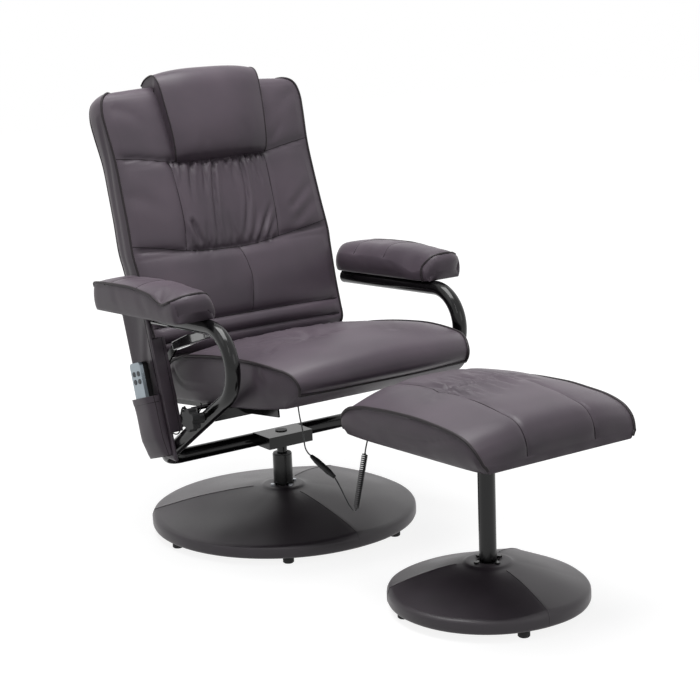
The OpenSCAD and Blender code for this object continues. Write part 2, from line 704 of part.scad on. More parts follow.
// The recline lever turns on the hinge pin's outer end
lever_w = 16;
lever_boss = 28;
grip_rear = [116, 112];
grip_front = [247, 157];
grip_t = 16;
grip_w = 20;
grip_over = 8;
grip_edge = 4;
module at_lever() {
    at_post() mirror([1, 0, 0]) translate([lever_x, hinge_at[0], hinge_at[1]]) children();
}
module plane_x(t) { rotate([90, 0, 90]) linear_extrude(t) children(); }
grip_lean = atan2(grip_front[1] - grip_rear[1], grip_front[0] - grip_rear[0]);
lever_tang_share = 0.85;
function lever_outline(grow) = let (a = [-grip_rear[0], grip_rear[1]], b = [-grip_front[0], grip_front[1]],
    na = unit([a.y, -a.x]) * (lever_w / 2 + grow), nb = unit([(b - a).y, (a - b).x]) * (lever_w / 4 + grow),
    c = a + (b - a) * lever_tang_share + unit(b - a) * grow)
    [na, a + na, c + nb, c - nb, a - na, -na];
module lever_arm() {
    color("black") at_lever() difference() {
        union() {
            rod_x(0, lever_t, lever_boss);
            plane_x(lever_t) polygon(lever_outline(0));
        }
        rod_x(-cut, lever_t + cut, pin_d + 2 * running);
    }
}
module lever_grip() {
    l = norm(grip_front - grip_rear);
    color("black") at_lever() difference() {
        translate([(lever_t - grip_t) / 2, -grip_rear[0], grip_rear[1]]) rotate([-grip_lean, 0, 0])
            hull() for (q = [[0, 0], [l, 0], [l / 2, grip_over / 2]], x = [grip_edge, grip_t - grip_edge],
                z = [-1, 1]) translate([x, -q[0], q[1] + z * (grip_w / 2 - grip_edge)])
                    sphere(r = grip_edge, $fn = 20);
        translate([-slip, 0, 0]) plane_x(lever_t + 2 * slip) polygon(lever_outline(slip));
    }
}

// The star knob, whose stud passes through the right tube into the crossbar
knob_d = 50;
knob_t = 18;
knob_reach = 35.7;
knob_face = panel_x + knob_reach;
knob_neck = 22;
lobe_count = 6;
lobe_d = 15;
module at_knob() { at_post() mirror([1, 0, 0]) translate([0, bar_y, bar_z]) children(); }
module clamp_knob() {
    color("black") at_knob() difference() {
        union() {
            rod_x(panel_x, knob_face - knob_t, knob_neck);
            rod_x(knob_face - knob_t, knob_face, knob_d - lobe_d * 0.7);
            for (k = [1 : lobe_count]) rotate([360 * k / lobe_count, 0, 0])
                translate([0, 0, (knob_d - lobe_d) / 2]) rod_x(knob_face - knob_t, knob_face, lobe_d);
        }
        rod_x(panel_x - cut, knob_face - knob_t / 2, stud_hole_d);
    }
}
module knob_stud() {
    color("silver") at_knob() rod_x(arm_x - tube_r - insert_l, knob_face - knob_t / 2, stud_hole_d);
}

// The back: a board on two steel brackets, a crowned cushion over it and a leather panel behind
back_front = 37;
back_low = 55;
back_lip = 14;
back_board_t = 10;
back_board_z = 1;
back_row_shares = [
    [0.087, 0.32, 0.084, 0.02, 0.900, 0.000], [0.100, 0.78, 0.096, 0.30, 0.930, 0.012],
    [0.121, 1.00, 0.121, 0.62, 0.942, 0.036], [0.142, 0.96, 0.142, 0.34, 0.946, 0.065],
    [0.163, 1.00, 0.163, 0.74, 0.947, 0.100], [0.185, 0.96, 0.183, 0.40, 0.948, 0.135],
    [0.220, 1.00, 0.220, 0.86, 0.952, 0.175], [0.300, 1.00, 0.300, 1.00, 0.960, 0.265],
    [0.380, 1.00, 0.370, 0.98, 0.972, 0.350], [0.425, 1.00, 0.395, 0.76, 0.980, 0.395],
    [0.447, 0.96, 0.410, 0.42, 0.985, 0.420], [0.470, 1.00, 0.436, 0.76, 0.983, 0.445],
    [0.550, 1.00, 0.540, 0.96, 0.970, 0.530], [0.660, 1.00, 0.660, 0.94, 0.964, 0.640],
    [0.735, 1.00, 0.735, 0.74, 0.962, 0.715], [0.765, 0.96, 0.765, 0.40, 0.962, 0.745],
    [0.795, 1.00, 0.795, 0.74, 0.966, 0.780], [0.870, 1.00, 0.870, 0.84, 0.980, 0.855],
    [0.930, 1.00, 0.935, 0.72, 0.992, 0.925], [0.968, 1.00, 0.975, 0.50, 0.990, 0.970],
    [0.985, 0.92, 0.996, 0.12, 0.960, 0.990], [0.988, 0.60, 1.000, -0.30, 0.900, 1.000]];
function back_rows() = [for (r = back_row_shares) [r[0] * back_l, r[1] * back_front, r[2] * back_l,
    back_front + r[3] * back_crown, r[4] * back_half_w]];
module back_cushion() {
    rear = back_front - back_side;
    low = function(p, j, z, lip) [p.x * (1 - lip / back_half_w),
        back_low + lip + back_row_shares[j][5] * (back_l - back_low - 2 * lip), z];
    color("dimgray") at_hinge() skin(back_rows(), back_columns, flat_power, no_fold, [
        function(p, u, j) let (q = low(p, j, rear, 0)) [q.x, (p.y + q.y) / 2, (p.z + q.z) / 2],
        function(p, u, j) low(p, j, rear + panel_back_t + gap, 0),
        function(p, u, j) low(p, j, rear + panel_back_t + gap, back_lip),
        function(p, u, j) low(p, j, back_board_z, back_lip)]);
}
panel_back_t = 3;
function back_outline(in) = [for (r = back_row_shares)
    [r[4] * (back_half_w - in), back_low + in + r[5] * (back_l - back_low - 2 * in)]];
module back_plate(in) {
    half = back_outline(in);
    n = len(half);
    polygon(concat(half, [for (i = [n - 1 : -1 : 0]) [-half[i].x, half[i].y]]));
}
module back_board() {
    color("burlywood") at_hinge() translate([0, 0, back_board_z - back_board_t]) linear_extrude(back_board_t)
        back_plate(back_lip + board_edge);
}
module back_rear_cover() {
    rear = back_front - back_side;
    color("dimgray") at_hinge() translate([0, 0, rear]) linear_extrude(panel_back_t) back_plate(board_edge);
}
bracket_w = 36;
bracket_l = 170;
module back_brackets() {
    rear = back_front - back_side - gap;
    color("black") both_sides() at_hinge() difference() {
        union() {
            rod_x(ear_x, ear_x + bracket_t, 2 * ear_r, fine);
            translate([ear_x, 0, 0]) plane_x(bracket_t) polygon([[0, 0],
                [back_low - ear_r * 0.8, -ear_r * 0.4], [back_low - ear_r * 0.4, rear],
                [back_low + ear_r, rear], [back_low + ear_r, rear - bracket_t],
                [back_low - ear_r, rear - bracket_t], [-ear_r * 0.7, -ear_r * 0.7]]);
            translate([ear_x + bracket_t - bracket_w, back_low - ear_r, rear - bracket_t])
                cube([bracket_w, bracket_l, bracket_t]);
        }
        rod_x(ear_x - cut, ear_x + bracket_t + cut, pin_d + 2 * running);
    }
}
back_motor_x = 70;
back_motor_up = 240;
back_motor_h = 16;
module back_motors() {
    color("gray") at_hinge() for (side = [-1, 1], up = [back_motor_up, back_motor_up + bracket_l])
        translate([side * back_motor_x, up, back_board_z - back_board_t - back_motor_h])
            cylinder(d = motor_d, h = back_motor_h, $fn = mid_fine);
}

// The headrest pad, on the front of the back's top and folded over its edge
head_half_w = 123;
head_l = 694;
head_crown = 100;
head_base = 60;
head_row_shares = [
    [0.696, 0.62, 0.692, 0.64, 0.94], [0.703, 0.74, 0.697, 0.84, 0.98], [0.735, 0.80, 0.735, 0.96, 1.00],
    [0.807, 0.82, 0.807, 1.00, 1.00], [0.879, 0.82, 0.882, 1.00, 1.00], [0.937, 0.80, 0.944, 0.97, 1.00],
    [0.968, 0.72, 0.980, 0.84, 0.99], [0.983, 0.56, 0.997, 0.60, 0.98], [0.986, 0.32, 1.000, 0.30, 0.97],
    [0.983, 0.08, 0.994, 0.02, 0.96], [0.974, -0.12, 0.986, -0.18, 0.94]];
module headrest_pad() {
    rows = scaled_rows(head_row_shares, head_l, head_crown, head_half_w);
    color("dimgray") at_hinge() skin(rows, back_columns, flat_power, no_fold, [
        function(p, u, j) let (r = rows[j]) [p.x * 0.98, min(r[0], back_l + gap), min(r[1], head_base)]]);
}

// The handset in its pouch: a black tray, a pale face and four buttons
handset_w = 46;
handset_l = 171;
handset_t = 20;
handset_low = 37.6;
handset_off = 3.5;
face_t = 8;
handset_round = 8;
function slab_corner(x, w) = x * (w / 2 - handset_round);
module slab(w, l, t) {
    linear_extrude(t) hull() for (x = [-1, 1], y = [handset_round, l - handset_round])
        translate([slab_corner(x, w), y]) circle(r = handset_round, $fn = 32);
}
module at_handset(out) {
    at_pouch() translate([handset_off + out, 0, handset_low]) rotate([90, 0, 90]) children();
}
module handset_back() {
    color("black") at_handset(0) slab(handset_w, handset_l, handset_t - face_t);
}
button_d = 11;
button_rise = 1.2;
button_travel = 0.8;
button_top = 24;
button_pitch = 17;
function button_at(k) = [(k % 2 == 0 ? -1 : 1) * button_d * 0.9,
    handset_l - button_top - floor(k / 2) * button_pitch];
module handset_front() {
    color("silver") at_handset(handset_t - face_t) difference() {
        slab(handset_w, handset_l, face_t);
        for (k = [0 : 3]) translate([button_at(k).x, button_at(k).y, face_t / 2])
            cylinder(d = button_d + 2 * slip, h = face_t, $fn = mid_fine);
    }
}
module button(k) {
    under = button_travel + gap;
    color("dimgray") at_handset(handset_t - face_t / 2 + under) translate([button_at(k).x, button_at(k).y, 0])
        cylinder(d = button_d, h = face_t / 2 + button_rise - under, $fn = mid_fine);
}
module button_1() { button(0); }
module button_2() { button(1); }
module button_3() { button(2); }
module button_4() { button(3); }

// Cords. The route's points are chosen by hand, from the chair's post.
lead_d = 3;
curl_out_r = 5.2;
link_route = [[-155, -311, 362], [-155, -312, 354], [-150, -308, 335], [-142, -303, 310],
    [-136, -298, 285], [-132, -296, 265], [-128, -299, 254], [-124, -306, 247]];
link_low_route = [[-119, -380, 218], [-122, -396, 210], [-128, -418, 200], [-136, -442, 191],
    [-144, -468, 182], [-150, -490, 178], [-152, -500, 182]];
coil_a = [-152, -500, 182];
coil_b = [-124, -500, 298];
coil_turns = 28;
link_top_route = [[-124, -500, 298], [-123, -501, 306], [-122, -505, 320], [-121, -510, 334],
    [-121, -511, 343]];
module link_lead_upper() {
    color("black") at_post() swept(smooth_path(link_route, 3), lead_d, 8);
}
module link_lead_lower() {
    color("black") at_post() {
        swept(smooth_path(link_low_route, 3), lead_d, 8);
        swept(smooth_path(link_top_route, 3), lead_d, 8);
    }
}
link_turns_path = curly(coil_a, coil_b, curl_out_r, lead_d, coil_turns);
module link_coil() {
    color("black") at_post() swept(link_turns_path, lead_d, 6);
}
socket_a = [-124, -306, 247];
socket_b = [-119, -380, 218];
socket_d = 13;
socket_tail = 8;
split_gap = 0.4;
taper_share = 0.25;
module barrel(a, b, share) {
    t = b - a;
    l = norm(t);
    translate(a) rotate([0, acos(t.z / l), atan2(t.y, t.x)]) rotate_extrude($fn = mid_fine)
        polygon([[0, 0], [socket_tail / 2, 0], [socket_d / 2, share * l], [socket_d / 2, (1 - share) * l],
            [socket_tail / 2, l], [0, l]]);
}
split_turn = -18;
module beyond_split(side) {
    reach = 8 * socket_d;
    translate((socket_a + socket_b) / 2) rotate([0, 0, split_turn])
        translate([-reach / 2, side > 0 ? split_gap / 2 : -reach - split_gap / 2, -reach / 2])
            cube([reach, reach, reach]);
}
module link_socket() {
    color("black") at_post() intersection() {
        barrel(socket_a, socket_b, taper_share);
        beyond_split(1);
    }
}
module link_plug() {
    color("black") at_post() intersection() {
        barrel(socket_a, socket_b, taper_share);
        beyond_split(-1);
    }
}
handset_route = [[-226, -36, 329], [-226, -38, 320], [-240, -44, 308], [-255, -42, 312],
    [-264, -38, 322], [-266, -36, 328]];
handset_low_route = [[-268, -16, 276], [-269, -12, 266], [-272, -2, 260], [-280, 6, 266],
    [-288, 8, 280], [-294, 7, 294], [-299, 6, 300], [-304, 5, 300]];
handset_coil_a = [-266, -36, 328];
handset_coil_b = [-268, -16, 276];
handset_turns = 13;
// The route is drawn from the gland to the panel, and keeps to both when the seat's width changes
route_gland_x = -226;
route_reach = 83.3;
function to_panel(p) = [lead_gland.x + (p.x - route_gland_x) * (panel_x + lead_gland.x) / route_reach,
    p.y, p.z];
function all_to_panel(points) = [for (p = points) to_panel(p)];
handset_turns_path = curly(to_panel(handset_coil_a), to_panel(handset_coil_b), curl_out_r, lead_d,
    handset_turns);
module handset_lead() {
    color("black") at_post() {
        swept(smooth_path(all_to_panel(handset_route), 4), lead_d, 8);
        swept(smooth_path(all_to_panel(handset_low_route), 3), lead_d, 8);
    }
}
module handset_coil() {
    color("black") at_post() swept(handset_turns_path, lead_d, 6);
}
echo(link_coil_gap = least_gap(link_turns_path, lead_d));
echo(handset_coil_gap = least_gap(handset_turns_path, lead_d));

// The footstool: the same build as the chair's base, at a smaller size, under a crowned cushion
stool_x = 16;
stool_foot_count = 4;
stool_foot_turn = -18;
stool_tube_d = 35;
stool_tilt = 1.2;
stool_plate_t = 4;
stool_board_t = 12;
stool_board_z = 4;
module at_stool() { translate([stool_x, post_y - stool_reach, 0]) children(); }
module at_stool_seat() { at_stool() translate([0, 0, stool_h]) rotate([-stool_tilt, 0, 0]) children(); }
module stool_core() { color("burlywood") at_stool() cone_core(stool_base_d); }
module stool_cover() { color("dimgray") at_stool() cone_cover(stool_base_d); }
module stool_feet() {
    color("black") at_stool() feet(stool_foot_count, stool_base_d / 2 - foot_inset, stool_foot_turn);
}
stool_top_plate = 140;
module stool_post() {
    top = stool_h + stool_board_z - gap;
    color("black") {
        at_stool() {
            cylinder_stack([[base_top, flange_d, flange_t],
                [base_top, stool_tube_d, top - base_top - 2 * stool_plate_t]]);
            for (k = [1 : stud_count]) rotate([0, 0, 360 * k / stud_count])
                translate([stud_ring / 2, 0, 0]) {
                    translate([0, 0, foot_h])
                        cylinder(d = stud_d, h = base_top - foot_h + cut, $fn = mid_fine);
                    translate([0, 0, base_top + flange_t]) cylinder(d = nut_d, h = nut_h, $fn = 6);
                }
        }
        at_stool_seat()
            translate([-stool_top_plate / 2, -stool_top_plate / 2, stool_board_z - 3 * stool_plate_t])
            cube([stool_top_plate, stool_top_plate, 3 * stool_plate_t]);
    }
}
module cylinder_stack(rows) {
    for (r = rows) translate([0, 0, r[0]]) cylinder(d = r[1], h = r[2], $fn = fine);
}
stool_crown = 98;
stool_lip = 12;
stool_low_w = 183;
stool_row_shares = [
    [-0.991, 0.12, -1.005, 0.14, 0.943, 0.000], [-0.955, 0.29, -1.009, 0.35, 0.969, 0.018],
    [-0.901, 0.43, -0.964, 0.59, 0.985, 0.045], [-0.802, 0.57, -0.856, 0.80, 0.995, 0.095],
    [-0.631, 0.66, -0.653, 0.90, 1.000, 0.180], [-0.360, 0.72, -0.360, 0.97, 1.000, 0.320],
    [-0.086, 0.74, -0.086, 1.00, 1.000, 0.457], [0.270, 0.72, 0.270, 0.97, 1.000, 0.635],
    [0.563, 0.67, 0.577, 0.90, 1.000, 0.782], [0.743, 0.59, 0.788, 0.80, 0.990, 0.875],
    [0.856, 0.51, 0.901, 0.63, 0.979, 0.930], [0.955, 0.35, 0.991, 0.39, 0.964, 0.980],
    [0.982, 0.20, 1.000, 0.18, 0.943, 1.000]];
stool_seam = 80;
stool_channel = 5;
channel_w = 9;
stool_fold = function(x, y) -stool_channel
    * (exp(-pow((x - stool_seam) / channel_w, 2)) + exp(-pow((x + stool_seam) / channel_w, 2)));
module stool_cushion() {
    rows = scaled_rows(stool_row_shares, stool_l / 2, stool_crown, stool_half_w);
    low = function(p, j, z, lip) [p.x * (1 - lip / stool_half_w) * stool_low_w / stool_half_w,
        lip - stool_l / 2 + stool_row_shares[j][5] * (stool_l - 2 * lip), z];
    color("dimgray") at_stool_seat() skin(rows, stool_columns, flat_power, stool_fold, [
        function(p, u, j) low(p, j, 0, 0) * 0.5 + p * 0.5,
        function(p, u, j) low(p, j, 0, 0),
        function(p, u, j) low(p, j, 0, stool_lip),
        function(p, u, j) low(p, j, stool_board_z + stool_board_t, stool_lip)]);
}
stool_gland_at = [-137, 196];
module stool_gland() {
    color("black") at_stool_seat() translate([0, 0, stool_board_z - board_z])
        gland(stool_gland_at, small_gland_d);
}
stool_board_share = 0.93;
module stool_board() {
    w = (stool_low_w - stool_lip) * stool_board_share;
    l = stool_l - 2 * stool_lip - 2 * board_edge;
    color("burlywood") at_stool_seat() translate([-w, -l / 2, stool_board_z]) cube([2 * w, l, stool_board_t]);
}

base_core();
base_cover();
base_feet();
post_sleeve();
base_nuts();
swivel_bush();
swivel_spindle();
hub_box();
frame_tube_right();
frame_tube_left();
frame_caps();
front_crossbar();
crossbar_inserts();
crossbar_bolt();
seat_rails();
seat_straps();
hinge_pins();
friction_discs();
seat_board();
seat_cushion();
control_box();
dc_inlet();
seat_motors();
arm_boards();
arm_pad_right();
arm_pad_left();
arm_screws();
pocket_panel();
pocket_pouch();
cord_glands();
lever_arm();
lever_grip();
clamp_knob();
knob_stud();
back_board();
back_brackets();
back_cushion();
headrest_pad();
back_rear_cover();
back_motors();
handset_front();
handset_back();
button_1();
button_2();
button_3();
button_4();
handset_lead();
handset_coil();
link_lead_upper();
link_socket();
link_plug();
link_lead_lower();
link_coil();
stool_core();
stool_cover();
stool_feet();
stool_post();
stool_board();
stool_cushion();
stool_gland();
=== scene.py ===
import math

import bmesh
import bpy
import numpy as np
from mathutils import Matrix, Vector


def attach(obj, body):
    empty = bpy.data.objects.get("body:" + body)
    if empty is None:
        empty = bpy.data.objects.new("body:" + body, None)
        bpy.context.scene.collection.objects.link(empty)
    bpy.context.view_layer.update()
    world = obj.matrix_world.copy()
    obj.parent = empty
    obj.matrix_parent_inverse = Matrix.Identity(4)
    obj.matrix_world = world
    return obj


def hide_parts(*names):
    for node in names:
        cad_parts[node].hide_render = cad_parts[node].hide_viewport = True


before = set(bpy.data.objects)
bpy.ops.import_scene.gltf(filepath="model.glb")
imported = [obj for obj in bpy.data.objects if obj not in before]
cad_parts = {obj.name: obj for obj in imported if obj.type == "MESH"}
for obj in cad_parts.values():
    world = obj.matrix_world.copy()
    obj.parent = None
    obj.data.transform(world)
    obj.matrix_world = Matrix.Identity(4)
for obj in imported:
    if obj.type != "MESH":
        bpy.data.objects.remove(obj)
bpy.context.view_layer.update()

# The camera stands at the photograph's angle: a long lens, well back from the sitter's right-hand
# front and a little above the seat.
view_turn, view_dip, view_roll = math.radians(34.99), math.radians(12.896), math.radians(-2.102)
ahead = Vector((math.sin(view_turn) * math.cos(view_dip), math.cos(view_turn) * math.cos(view_dip),
                -math.sin(view_dip)))
level = Vector((math.cos(view_turn), -math.sin(view_turn), 0))
upright = level.cross(ahead)
view_right = math.cos(view_roll) * level + math.sin(view_roll) * upright
view_up = math.cos(view_roll) * upright - math.sin(view_roll) * level
view_from = (-2.12818, -3.02941, 1.2998)
focal_mm = 92.94
lens = bpy.data.cameras.new("camera")
lens.lens = focal_mm
lens.clip_end = 50
camera = bpy.data.objects.new("camera", lens)
camera.matrix_world = Matrix.Translation(view_from) @ Matrix(
    (view_right, view_up, -ahead)).transposed().to_4x4()
bpy.context.scene.collection.objects.link(camera)
bpy.context.scene.camera = camera

# The massager's cords: twisted copper in a moulded PVC jacket 3 mm across. One run leaves the seat
# for its plug, one goes on through a curly stretch into the footstool, and one joins the handset.
# The chair's post stands at this y, and the cords' points are measured from it in millimetres.
post_y = 0.294
cord_d = 0.003
curl_r = 0.0052
curl_lead_turns = 0.75


def colour(text):
    parts = [int(text[i:i + 2], 16) / 255 for i in (0, 2, 4)]
    return [c / 12.92 if c <= 0.04045 else ((c + 0.055) / 1.055) ** 2.4 for c in parts] + [1.0]


def add(tree, kind, feeds=(), **settings):
    made = tree.nodes.new("ShaderNode" + kind)
    for name, value in settings.items():
        setattr(made, name, value)
    for socket, value in dict(feeds).items():
        if isinstance(value, bpy.types.NodeSocket):
            tree.links.new(value, made.inputs[socket])
        else:
            made.inputs[socket].default_value = value
    return made


def new_material(name):
    made = bpy.data.materials.new(name)
    made.use_nodes = True
    made.node_tree.nodes.clear()
    return made, made.node_tree


def soft_clouds(tree, scale, low, high, smooth, rough):
    """Clouds between two near tones, which are also a little smoother or rougher."""
    place = add(tree, "TexCoord").outputs["Object"]
    cloud = add(tree, "TexNoise", {"Vector": place, "Scale": scale, "Detail": 3.0}).outputs["Fac"]
    tone = add(tree, "ValToRGB", {"Fac": cloud}).outputs["Color"]
    ramp = tone.node.color_ramp.elements
    ramp[0].position, ramp[1].position = 0.3, 0.7
    ramp[0].color, ramp[1].color = colour(low), colour(high)
    haze = add(tree, "MapRange", {"Value": cloud, "From Min": 0.3, "From Max": 0.7,
                                  "To Min": smooth, "To Max": rough})
    return place, tone, haze.outputs["Result"]


def clouded(name, low, high, roughness, grain_mm, bump_mm, **sockets):
    """A moulded or painted finish: two near tones in soft clouds, and a fine grain as bump."""
    made, tree = new_material(name)
    place, tone, rough = soft_clouds(tree, 12.0, low, high, roughness * 0.9, roughness * 1.15)
    grain = add(tree, "TexNoise", {"Vector": place, "Scale": 1000 / grain_mm, "Detail": 2.0}).outputs["Fac"]
    bump = add(tree, "Bump", {"Height": grain, "Strength": 0.3, "Distance": bump_mm / 1000})
    shader = add(tree, "BsdfPrincipled", {"Base Color": tone, "Roughness": rough,
                                          "Normal": bump.outputs["Normal"], **sockets})
    add(tree, "OutputMaterial", {"Surface": shader.outputs[0]})
    return made


# PVC jacket, extruded and curled on a mandrel: dull black with one soft wide shine along each turn.
cord_pvc = clouded("black_pvc_jacket", "131315", "1d1d20", 0.42, 1.2, 0.05)


def from_post(points):
    return [(x / 1000, y / 1000 + post_y, z / 1000) for x, y, z in points]


def fine_rows(rows, steps):
    """A smooth run through the rows or points, with this many steps from each to the next."""
    rows = np.array(rows, float)
    made = []
    for i in range(len(rows) - 1):
        a, b, c, d = rows[max(i - 1, 0)], rows[i], rows[i + 1], rows[min(i + 2, len(rows) - 1)]
        for k in range(steps):
            t = k / steps
            made.append(0.5 * (2 * b + (c - a) * t + (2 * a - 5 * b + 4 * c - d) * t * t
                               + (3 * b - a - 3 * c + d) * t ** 3))
    return np.array(made + [rows[-1]])


def smooth_line(points):
    return [Vector(q) for q in fine_rows(from_post(points), 6)]


def curly_line(start, end, turns, per_turn=16):
    a, b = [Vector(q) for q in from_post([start, end])]
    along = (b - a).normalized()
    side = Vector((0, 0, 1)) if abs(along.z) < 0.9 else Vector((1, 0, 0))
    side = (side - side.dot(along) * along).normalized()
    over = along.cross(side)
    reach = (b - a).length - 2 * cord_d
    line = [a]
    for i in range(turns * per_turn + 1):
        s = i / per_turn
        widen = min(1, s / curl_lead_turns, (turns - s) / curl_lead_turns)
        q = 2 * math.pi * s
        line.append(a + along * (cord_d + reach * s / turns)
                    + curl_r * widen * (math.cos(q) * side + math.sin(q) * over))
    return line + [b]


def finish_mesh(name, mesh, material):
    bmesh.ops.recalc_face_normals(mesh, faces=mesh.faces)
    data = bpy.data.meshes.new(name)
    mesh.to_mesh(data)
    mesh.free()
    for face in data.polygons:
        face.use_smooth = True
    data.materials.append(material)
    made = bpy.data.objects.new(name, data)
    bpy.context.scene.collection.objects.link(made)
    return made


def join_rings(mesh, rings):
    for a, b in zip(rings, rings[1:]):
        for k in range(len(a)):
            mesh.faces.new((a[k], a[(k + 1) % len(a)], b[(k + 1) % len(a)], b[k]))


def tubes(name, lines, diameter, material, sides=8, closed=False):
    """Round cord, piping or thread along each line, as one piece."""
    mesh = bmesh.new()
    for line in lines:
        line = [Vector(p) for p in line]
        n = len(line)
        rings = []
        normal = None
        for i, p in enumerate(line):
            before, after = (i - 1, (i + 1) % n) if closed else (max(i - 1, 0), min(i + 1, n - 1))
            t = (line[after] - line[before]).normalized()
            if normal is None:
                normal = Vector((0, 0, 1)) if abs(t.z) < 0.9 else Vector((1, 0, 0))
            normal = (normal - normal.dot(t) * t).normalized()
            over = t.cross(normal)
            turn = [2 * math.pi * k / sides for k in range(sides)]
            rings.append([mesh.verts.new(p + diameter / 2 * (math.cos(q) * normal + math.sin(q) * over))
                          for q in turn])
        if closed:
            # The last ring joins the first where their points lie nearest, so that it isn't twisted.
            shift = min(range(sides), key=lambda s: (rings[0][s].co - rings[-1][0].co).length)
            rings.append(rings[0][shift:] + rings[0][:shift])
        join_rings(mesh, rings)
        if not closed:
            mesh.faces.new(rings[0][::-1])
            mesh.faces.new(rings[-1])
    return finish_mesh(name, mesh, material)


def dress(made, body, slot, *replaced):
    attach(made, body)
    if replaced:
        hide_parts(*replaced)


def run_cord(name, line, body, replaced):
    made = tubes(name, [line], cord_d, cord_pvc, 10)
    dress(made, body, "cord_rubber", *replaced)


run_cord("link_cord_upper", smooth_line([
    (-155, -311, 362), (-155, -312, 354), (-150, -308, 335), (-142, -303, 310), (-136, -298, 285),
    (-132, -296, 265), (-128, -299, 254), (-124, -306, 247)]),
    "frame", ["link_lead_upper"])
run_cord("link_cord_lower", smooth_line([
    (-119, -380, 218), (-122, -396, 210), (-128, -418, 200), (-136, -442, 191), (-144, -468, 182),
    (-150, -490, 178), (-152, -500, 182)])[:-1] + curly_line(
        (-152, -500, 182), (-124, -500, 298), 28)[:-1] + smooth_line([
            (-124, -500, 298), (-123, -501, 306), (-122, -505, 320), (-121, -510, 334),
            (-121, -511, 343)]),
    "footstool", ["link_lead_lower", "link_coil"])
run_cord("handset_cord", smooth_line([
    (-226, -36, 329), (-226, -38, 320), (-240, -44, 308), (-255, -42, 312), (-264, -38, 322),
    (-266, -36, 328)])[:-1] + curly_line(
        (-266, -36, 328), (-268, -16, 276), 13)[:-1] + smooth_line([
            (-268, -16, 276), (-269, -12, 266), (-272, -2, 260), (-280, 6, 266), (-288, 8, 280),
            (-294, 7, 294), (-299, 6, 300), (-304, 5, 300)]),
    "frame", ["handset_lead", "handset_coil"])

# The floor and the white surround of a packshot: the paper glows to plain white away from the chair
# and keeps a soft shadow near it. Three soft boxes, one strip and a low even sky light the chair.
def either(tree, a, b):
    return add(tree, "Math", {0: a, 1: b}, operation="MAXIMUM").outputs[0]


floor_paper, tree = new_material("matt_white_paper")
ray = add(tree, "LightPath").outputs
away = add(tree, "VectorMath", {0: add(tree, "TexCoord").outputs["Object"]}, operation="LENGTH")
glow = add(tree, "MapRange", {"Value": away.outputs["Value"], "From Min": 0.9, "From Max": 2.4,
                              "To Min": 0.87, "To Max": 1.0})
paper = add(tree, "BsdfDiffuse", {"Color": colour("909090"), "Roughness": 0.6})
shine = add(tree, "Emission", {"Color": colour("ffffff"), "Strength": glow.outputs["Result"]})
dark = add(tree, "Emission", {"Strength": 0.0})
seen = either(tree, ray["Is Camera Ray"], ray["Is Glossy Ray"])
lift = add(tree, "MixShader", {0: seen, 1: dark.outputs[0], 2: shine.outputs[0]})
lit = add(tree, "AddShader", {0: paper.outputs[0], 1: lift.outputs[0]})
add(tree, "OutputMaterial", {"Surface": lit.outputs[0]})
mesh = bmesh.new()
bmesh.ops.create_grid(mesh, x_segments=1, y_segments=1, size=9)
finish_mesh("floor", mesh, floor_paper)

world = bpy.data.worlds.new("studio")
world.use_nodes = True
tree = world.node_tree
tree.nodes.clear()
ray = add(tree, "LightPath").outputs
seen = either(tree, either(tree, ray["Is Camera Ray"], ray["Is Glossy Ray"]), ray["Is Transmission Ray"])
sky = add(tree, "Background", {"Color": colour("eaeef2"), "Strength": 0.1})
white = add(tree, "Background", {"Color": colour("ffffff"), "Strength": 1.0})
mixed = add(tree, "MixShader", {0: seen, 1: sky.outputs[0], 2: white.outputs[0]})
add(tree, "OutputWorld", {"Surface": mixed.outputs[0]})
bpy.context.scene.world = world


def softbox(name, spot, target, size, power):
    data = bpy.data.lights.new(name, "AREA")
    data.shape = "RECTANGLE"
    data.size, data.size_y = size
    data.energy = power
    lamp = bpy.data.objects.new(name, data)
    lamp.location = spot
    lamp.rotation_euler = (Vector(target) - Vector(spot)).to_track_quat("-Z", "Y").to_euler()
    bpy.context.scene.collection.objects.link(lamp)


softbox("softbox_top", (-0.3, 0.1, 3.2), (0, 0, 0.3), (2.0, 2.0), 96)
softbox("softbox_left", (-3.0, 0.4, 2.8), (0, 0.1, 0.6), (1.4, 1.8), 5)
softbox("softbox_front", (0.8, -3.4, 1.8), (0, 0.1, 0.5), (1.6, 1.4), 7)
softbox("strip_light", (-1.7, -2.1, 2.6), (0, 0.1, 0.4), (0.1, 1.5), 5)
bpy.context.scene.view_settings.view_transform = "Standard"


# The chair's and the footstool's floor bases: a turned plywood core on rubber feet, under a cover of
# three leatherette panels. The panels meet in three raised seams and turn in under the rim.
def leatherette(name, deep, mid, roughness, grain_mm=1.6, bump_mm=0.35, polish=0.33):
    """PU film with a printed grain over foam or board. Its low polish spreads light wide."""
    made, tree = new_material(name)
    place, tone, rough = soft_clouds(tree, 7.0, deep, mid, roughness - 0.03, roughness + 0.05)
    pores = add(tree, "TexVoronoi", {"Vector": place, "Scale": 1000 / grain_mm}, feature="DISTANCE_TO_EDGE")
    crease = add(tree, "TexNoise", {"Vector": place, "Scale": 110.0, "Detail": 5.0})
    height = add(tree, "Math", {0: pores.outputs["Distance"], 1: crease.outputs["Fac"]}, operation="ADD")
    bump = add(tree, "Bump", {"Height": height.outputs[0], "Strength": 0.3, "Distance": bump_mm / 1000})
    shader = add(tree, "BsdfPrincipled", {
        "Base Color": tone, "Roughness": rough, "Specular IOR Level": polish,
        "Sheen Weight": 0.1, "Sheen Roughness": 0.4, "Sheen Tint": colour("d8c6cc"),
        "Normal": bump.outputs["Normal"]})
    add(tree, "OutputMaterial", {"Surface": shader.outputs[0]})
    return made


